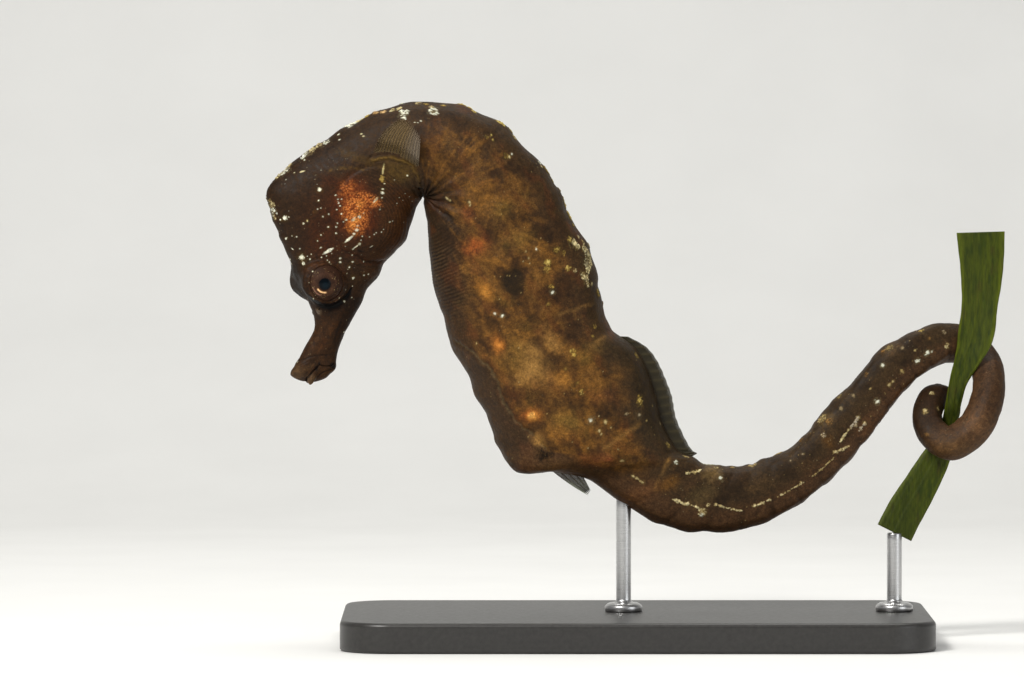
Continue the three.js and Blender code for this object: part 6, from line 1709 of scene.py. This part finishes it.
# ------------------------------------------------------------------ the stand
def base_plate():
    lo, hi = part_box("stand_base")
    cx, cy = (lo[0] + hi[0]) / 2 / MM - SHIFT, (lo[1] + hi[1]) / 2 / MM
    hx, hy, z0, z1 = (hi[0] - lo[0]) / 2 / MM, (hi[1] - lo[1]) / 2 / MM, lo[2] / MM, hi[2] / MM
    rad_, bev = 4.0, 0.35
    prof = [(bev, z0), (bev * 0.35, z0 + bev * 0.12), (0.0, z0 + bev * 0.45)]
    prof += [(0.0, z0 + (z1 - z0) * k / 6) for k in range(1, 6)]
    prof += [(bev * (1 - math.cos(a)), z1 - bev + bev * math.sin(a)) for a in np.linspace(0, math.pi / 2, 8)]
    ring_pts = []
    per = 20
    for inset, z in prof:
        loop = []
        for qx, qy, a0 in ((1, -1, -90), (1, 1, 0), (-1, 1, 90), (-1, -1, 180)):
            for a in np.radians(np.linspace(a0, a0 + 90, per)):
                r_ = rad_
                loop.append((cx + qx * (hx - r_) + (r_ - inset) * math.cos(a), cy + qy * (hy - r_) + (r_ - inset) * math.sin(a), z))
        ring_pts.append(loop)
    g = np.array(ring_pts)
    n, m = g.shape[:2]
    f = g.reshape(-1, 3)
    q = grid_quads(n, m, True)
    mids = np.array([[cx, cy, z0], [cx, cy, z1]])
    j = np.arange(m)
    t1 = np.stack([(j + 1) % m, j, np.full(m, len(f))], -1)
    t2 = np.stack([(n - 1) * m + j, (n - 1) * m + (j + 1) % m, np.full(m, len(f) + 1)], -1)
    ob = new_mesh("stand_base_plate", np.vstack([f, mids]), q, np.vstack([t1, t2]))
    ob.data.polygons.foreach_set("use_smooth", np.concatenate([np.ones(len(q), bool), np.zeros(2 * m, bool)]))
    m_, nt, b = material("stand_satin_black")
    tc = node(nt, "ShaderNodeTexCoord")
    ns = node(nt, "ShaderNodeTexNoise", Scale=2600.0, Detail=5.0, Roughness=0.6)
    nt.links.new(tc.outputs["Object"], ns.inputs["Vector"])
    rp = ramp(nt, [(0.3, (0.020, 0.019, 0.018)), (0.7, (0.032, 0.030, 0.028))], ns.outputs["Fac"])
    nt.links.new(rp.outputs["Color"], b.inputs["Base Color"])
    mr = node(nt, "ShaderNodeMapRange")
    mr.inputs["To Min"].default_value, mr.inputs["To Max"].default_value = 0.30, 0.46
    nt.links.new(ns.outputs["Fac"], mr.inputs["Value"])
    nt.links.new(mr.outputs["Result"], b.inputs["Roughness"])
    bp = node(nt, "ShaderNodeBump", Strength=0.12, Distance=0.02 * MM)
    nt.links.new(ns.outputs["Fac"], bp.inputs["Height"])
    nt.links.new(bp.outputs["Normal"], b.inputs["Normal"])
    ob.data.materials.append(m_)
    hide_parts("stand_base")
    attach(ob, "root")


def rod(name):
    lo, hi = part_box(name)
    cx, cy = (lo[0] + hi[0]) / 2 / MM - SHIFT, (lo[1] + hi[1]) / 2 / MM
    z0, z1 = lo[2] / MM, hi[2] / MM
    z1 = z1 + (1.15 if name == "stand_rod_body" else 0.5)  # into the padded seat of skin or leaf that it carries
    R, F, FT = 0.6, 1.5, 0.7
    prof = [(0.0, z0), (F - 0.06, z0), (F, z0 + 0.06), (F, z0 + FT * 0.55), (F * 0.97, z0 + FT * 0.68), (F * 0.88, z0 + FT * 0.85), (F * 0.75, z0 + FT)]
    prof += [(R + 0.30, z0 + FT * 1.03), (R + 0.12, z0 + FT * 1.1), (R + 0.02, z0 + FT * 1.25)]
    prof += [(R, z) for z in np.linspace(z0 + FT * 1.4, z1 - 0.10, 12)]
    prof += [(R - 0.03, z1 - 0.03), (R - 0.10, z1), (0.0, z1)]
    seg = 64
    a = np.linspace(0, 2 * math.pi, seg, endpoint=False)
    body_ = prof[1:-1]
    g = np.array([[(cx + r_ * math.cos(x), cy + r_ * math.sin(x), z) for x in a] for r_, z in body_])
    n, m = g.shape[:2]
    f = g.reshape(-1, 3)
    q = grid_quads(n, m, True)
    j = np.arange(m)
    t1 = np.stack([(j + 1) % m, j, np.full(m, len(f))], -1)
    t2 = np.stack([(n - 1) * m + j, (n - 1) * m + (j + 1) % m, np.full(m, len(f) + 1)], -1)
    ob = new_mesh(name + "_steel", np.vstack([f, [[cx, cy, z0], [cx, cy, z1]]]), q, np.vstack([t1, t2]))
    return ob


def steel():
    m_, nt, b = material("brushed_steel")
    tc = node(nt, "ShaderNodeTexCoord")
    mp = node(nt, "ShaderNodeMapping")
    mp.inputs["Scale"].default_value = (1, 1, 14)
    nt.links.new(tc.outputs["Object"], mp.inputs["Vector"])
    ns = node(nt, "ShaderNodeTexNoise", Scale=900.0, Detail=4.0)
    nt.links.new(mp.outputs["Vector"], ns.inputs["Vector"])
    mr = node(nt, "ShaderNodeMapRange")
    mr.inputs["To Min"].default_value, mr.inputs["To Max"].default_value = 0.20, 0.42
    nt.links.new(ns.outputs["Fac"], mr.inputs["Value"])
    nt.links.new(mr.outputs["Result"], b.inputs["Roughness"])
    rp = ramp(nt, [(0.2, 0.50), (0.8, 0.66)], ns.outputs["Fac"])
    nt.links.new(rp.outputs["Color"], b.inputs["Base Color"])
    b.inputs["Metallic"].default_value = 1.0
    bp = node(nt, "ShaderNodeBump", Strength=0.2, Distance=0.01 * MM)
    nt.links.new(ns.outputs["Fac"], bp.inputs["Height"])
    nt.links.new(bp.outputs["Normal"], b.inputs["Normal"])
    return m_


base_plate()
steel_mat = steel()
for name in ("stand_rod_body", "stand_rod_perch"):
    ob = rod(name)
    ob.data.materials.append(steel_mat)
    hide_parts(name)
    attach(ob, "root")

# ------------------------------------------------------------------ floor, light and camera
scene = bpy.context.scene
floor_me = bpy.data.meshes.new("floor")
prof = [(-0.6, 0.0), (0.16, 0.0)]
prof += [(0.16 + 0.14 * math.sin(a), 0.14 * (1 - math.cos(a))) for a in np.radians(np.linspace(6, 90, 15))]
prof += [(0.30, 0.6)]
verts = [(x, y, z) for y, z in prof for x in (-0.9, 0.9)]
faces = [(2 * i, 2 * i + 1, 2 * i + 3, 2 * i + 2) for i in range(len(prof) - 1)]
floor_me.from_pydata(verts, [], faces)
for p_ in floor_me.polygons:
    p_.use_smooth = True
floor = bpy.data.objects.new("floor", floor_me)
scene.collection.objects.link(floor)
fm, nt, b = material("pale_floor")
tc = node(nt, "ShaderNodeTexCoord")
ns = node(nt, "ShaderNodeTexNoise", Scale=60.0, Detail=3.0)
nt.links.new(tc.outputs["Object"], ns.inputs["Vector"])
rp = ramp(nt, [(0.3, (0.80, 0.80, 0.785)), (0.7, (0.83, 0.83, 0.815))], ns.outputs["Fac"])
nt.links.new(rp.outputs["Color"], b.inputs["Base Color"])
b.inputs["Roughness"].default_value = 0.75
floor.data.materials.append(fm)

world = bpy.data.worlds.new("studio")
scene.world = world
world.use_nodes = True
bg = world.node_tree.nodes["Background"]
bg.inputs["Color"].default_value = (1.0, 1.0, 1.0, 1)
bg.inputs["Strength"].default_value = 0.23


def area(name, loc, target, size, power, tint=(1, 1, 1)):
    li_ = bpy.data.lights.new(name, "AREA")
    li_.shape = "RECTANGLE"
    li_.size, li_.size_y = size
    li_.energy = power
    li_.color = tint
    o = bpy.data.objects.new(name, li_)
    scene.collection.objects.link(o)
    import mathutils

    d = mathutils.Vector(target) - mathutils.Vector(loc)
    o.location = loc
    o.rotation_euler = d.to_track_quat("-Z", "Y").to_euler()
    return o


mid = (0.0, 0.0, 0.024)
area("key", (-0.15, -0.22, 0.26), mid, (0.09, 0.09), 1.25, (1.0, 0.98, 0.94))
area("fill", (0.28, -0.22, 0.10), mid, (0.20, 0.20), 0.22, (0.95, 0.98, 1.0))
area("top", (0.02, 0.07, 0.26), mid, (0.22, 0.12), 0.34, (1.0, 0.99, 0.96))

DIST = 0.60
cam = bpy.data.cameras.new("camera")
cam.sensor_width = 36.0
cam.lens = 36.0 * DIST / (1024 * SCALE * MM)
cam.clip_start, cam.clip_end = 0.01, 10
co = bpy.data.objects.new("camera", cam)
scene.collection.objects.link(co)
tx, tz = ((512 - 640) * SCALE + SHIFT) * MM, (642 - 341.5) * SCALE * MM
elev = math.radians(2.0)
co.location = (tx, -DIST * math.cos(elev), tz + DIST * math.sin(elev))
co.rotation_euler = (math.pi / 2 - elev, 0, 0)
scene.camera = co
scene.view_settings.view_transform = "Standard"
scene.view_settings.look = "None"
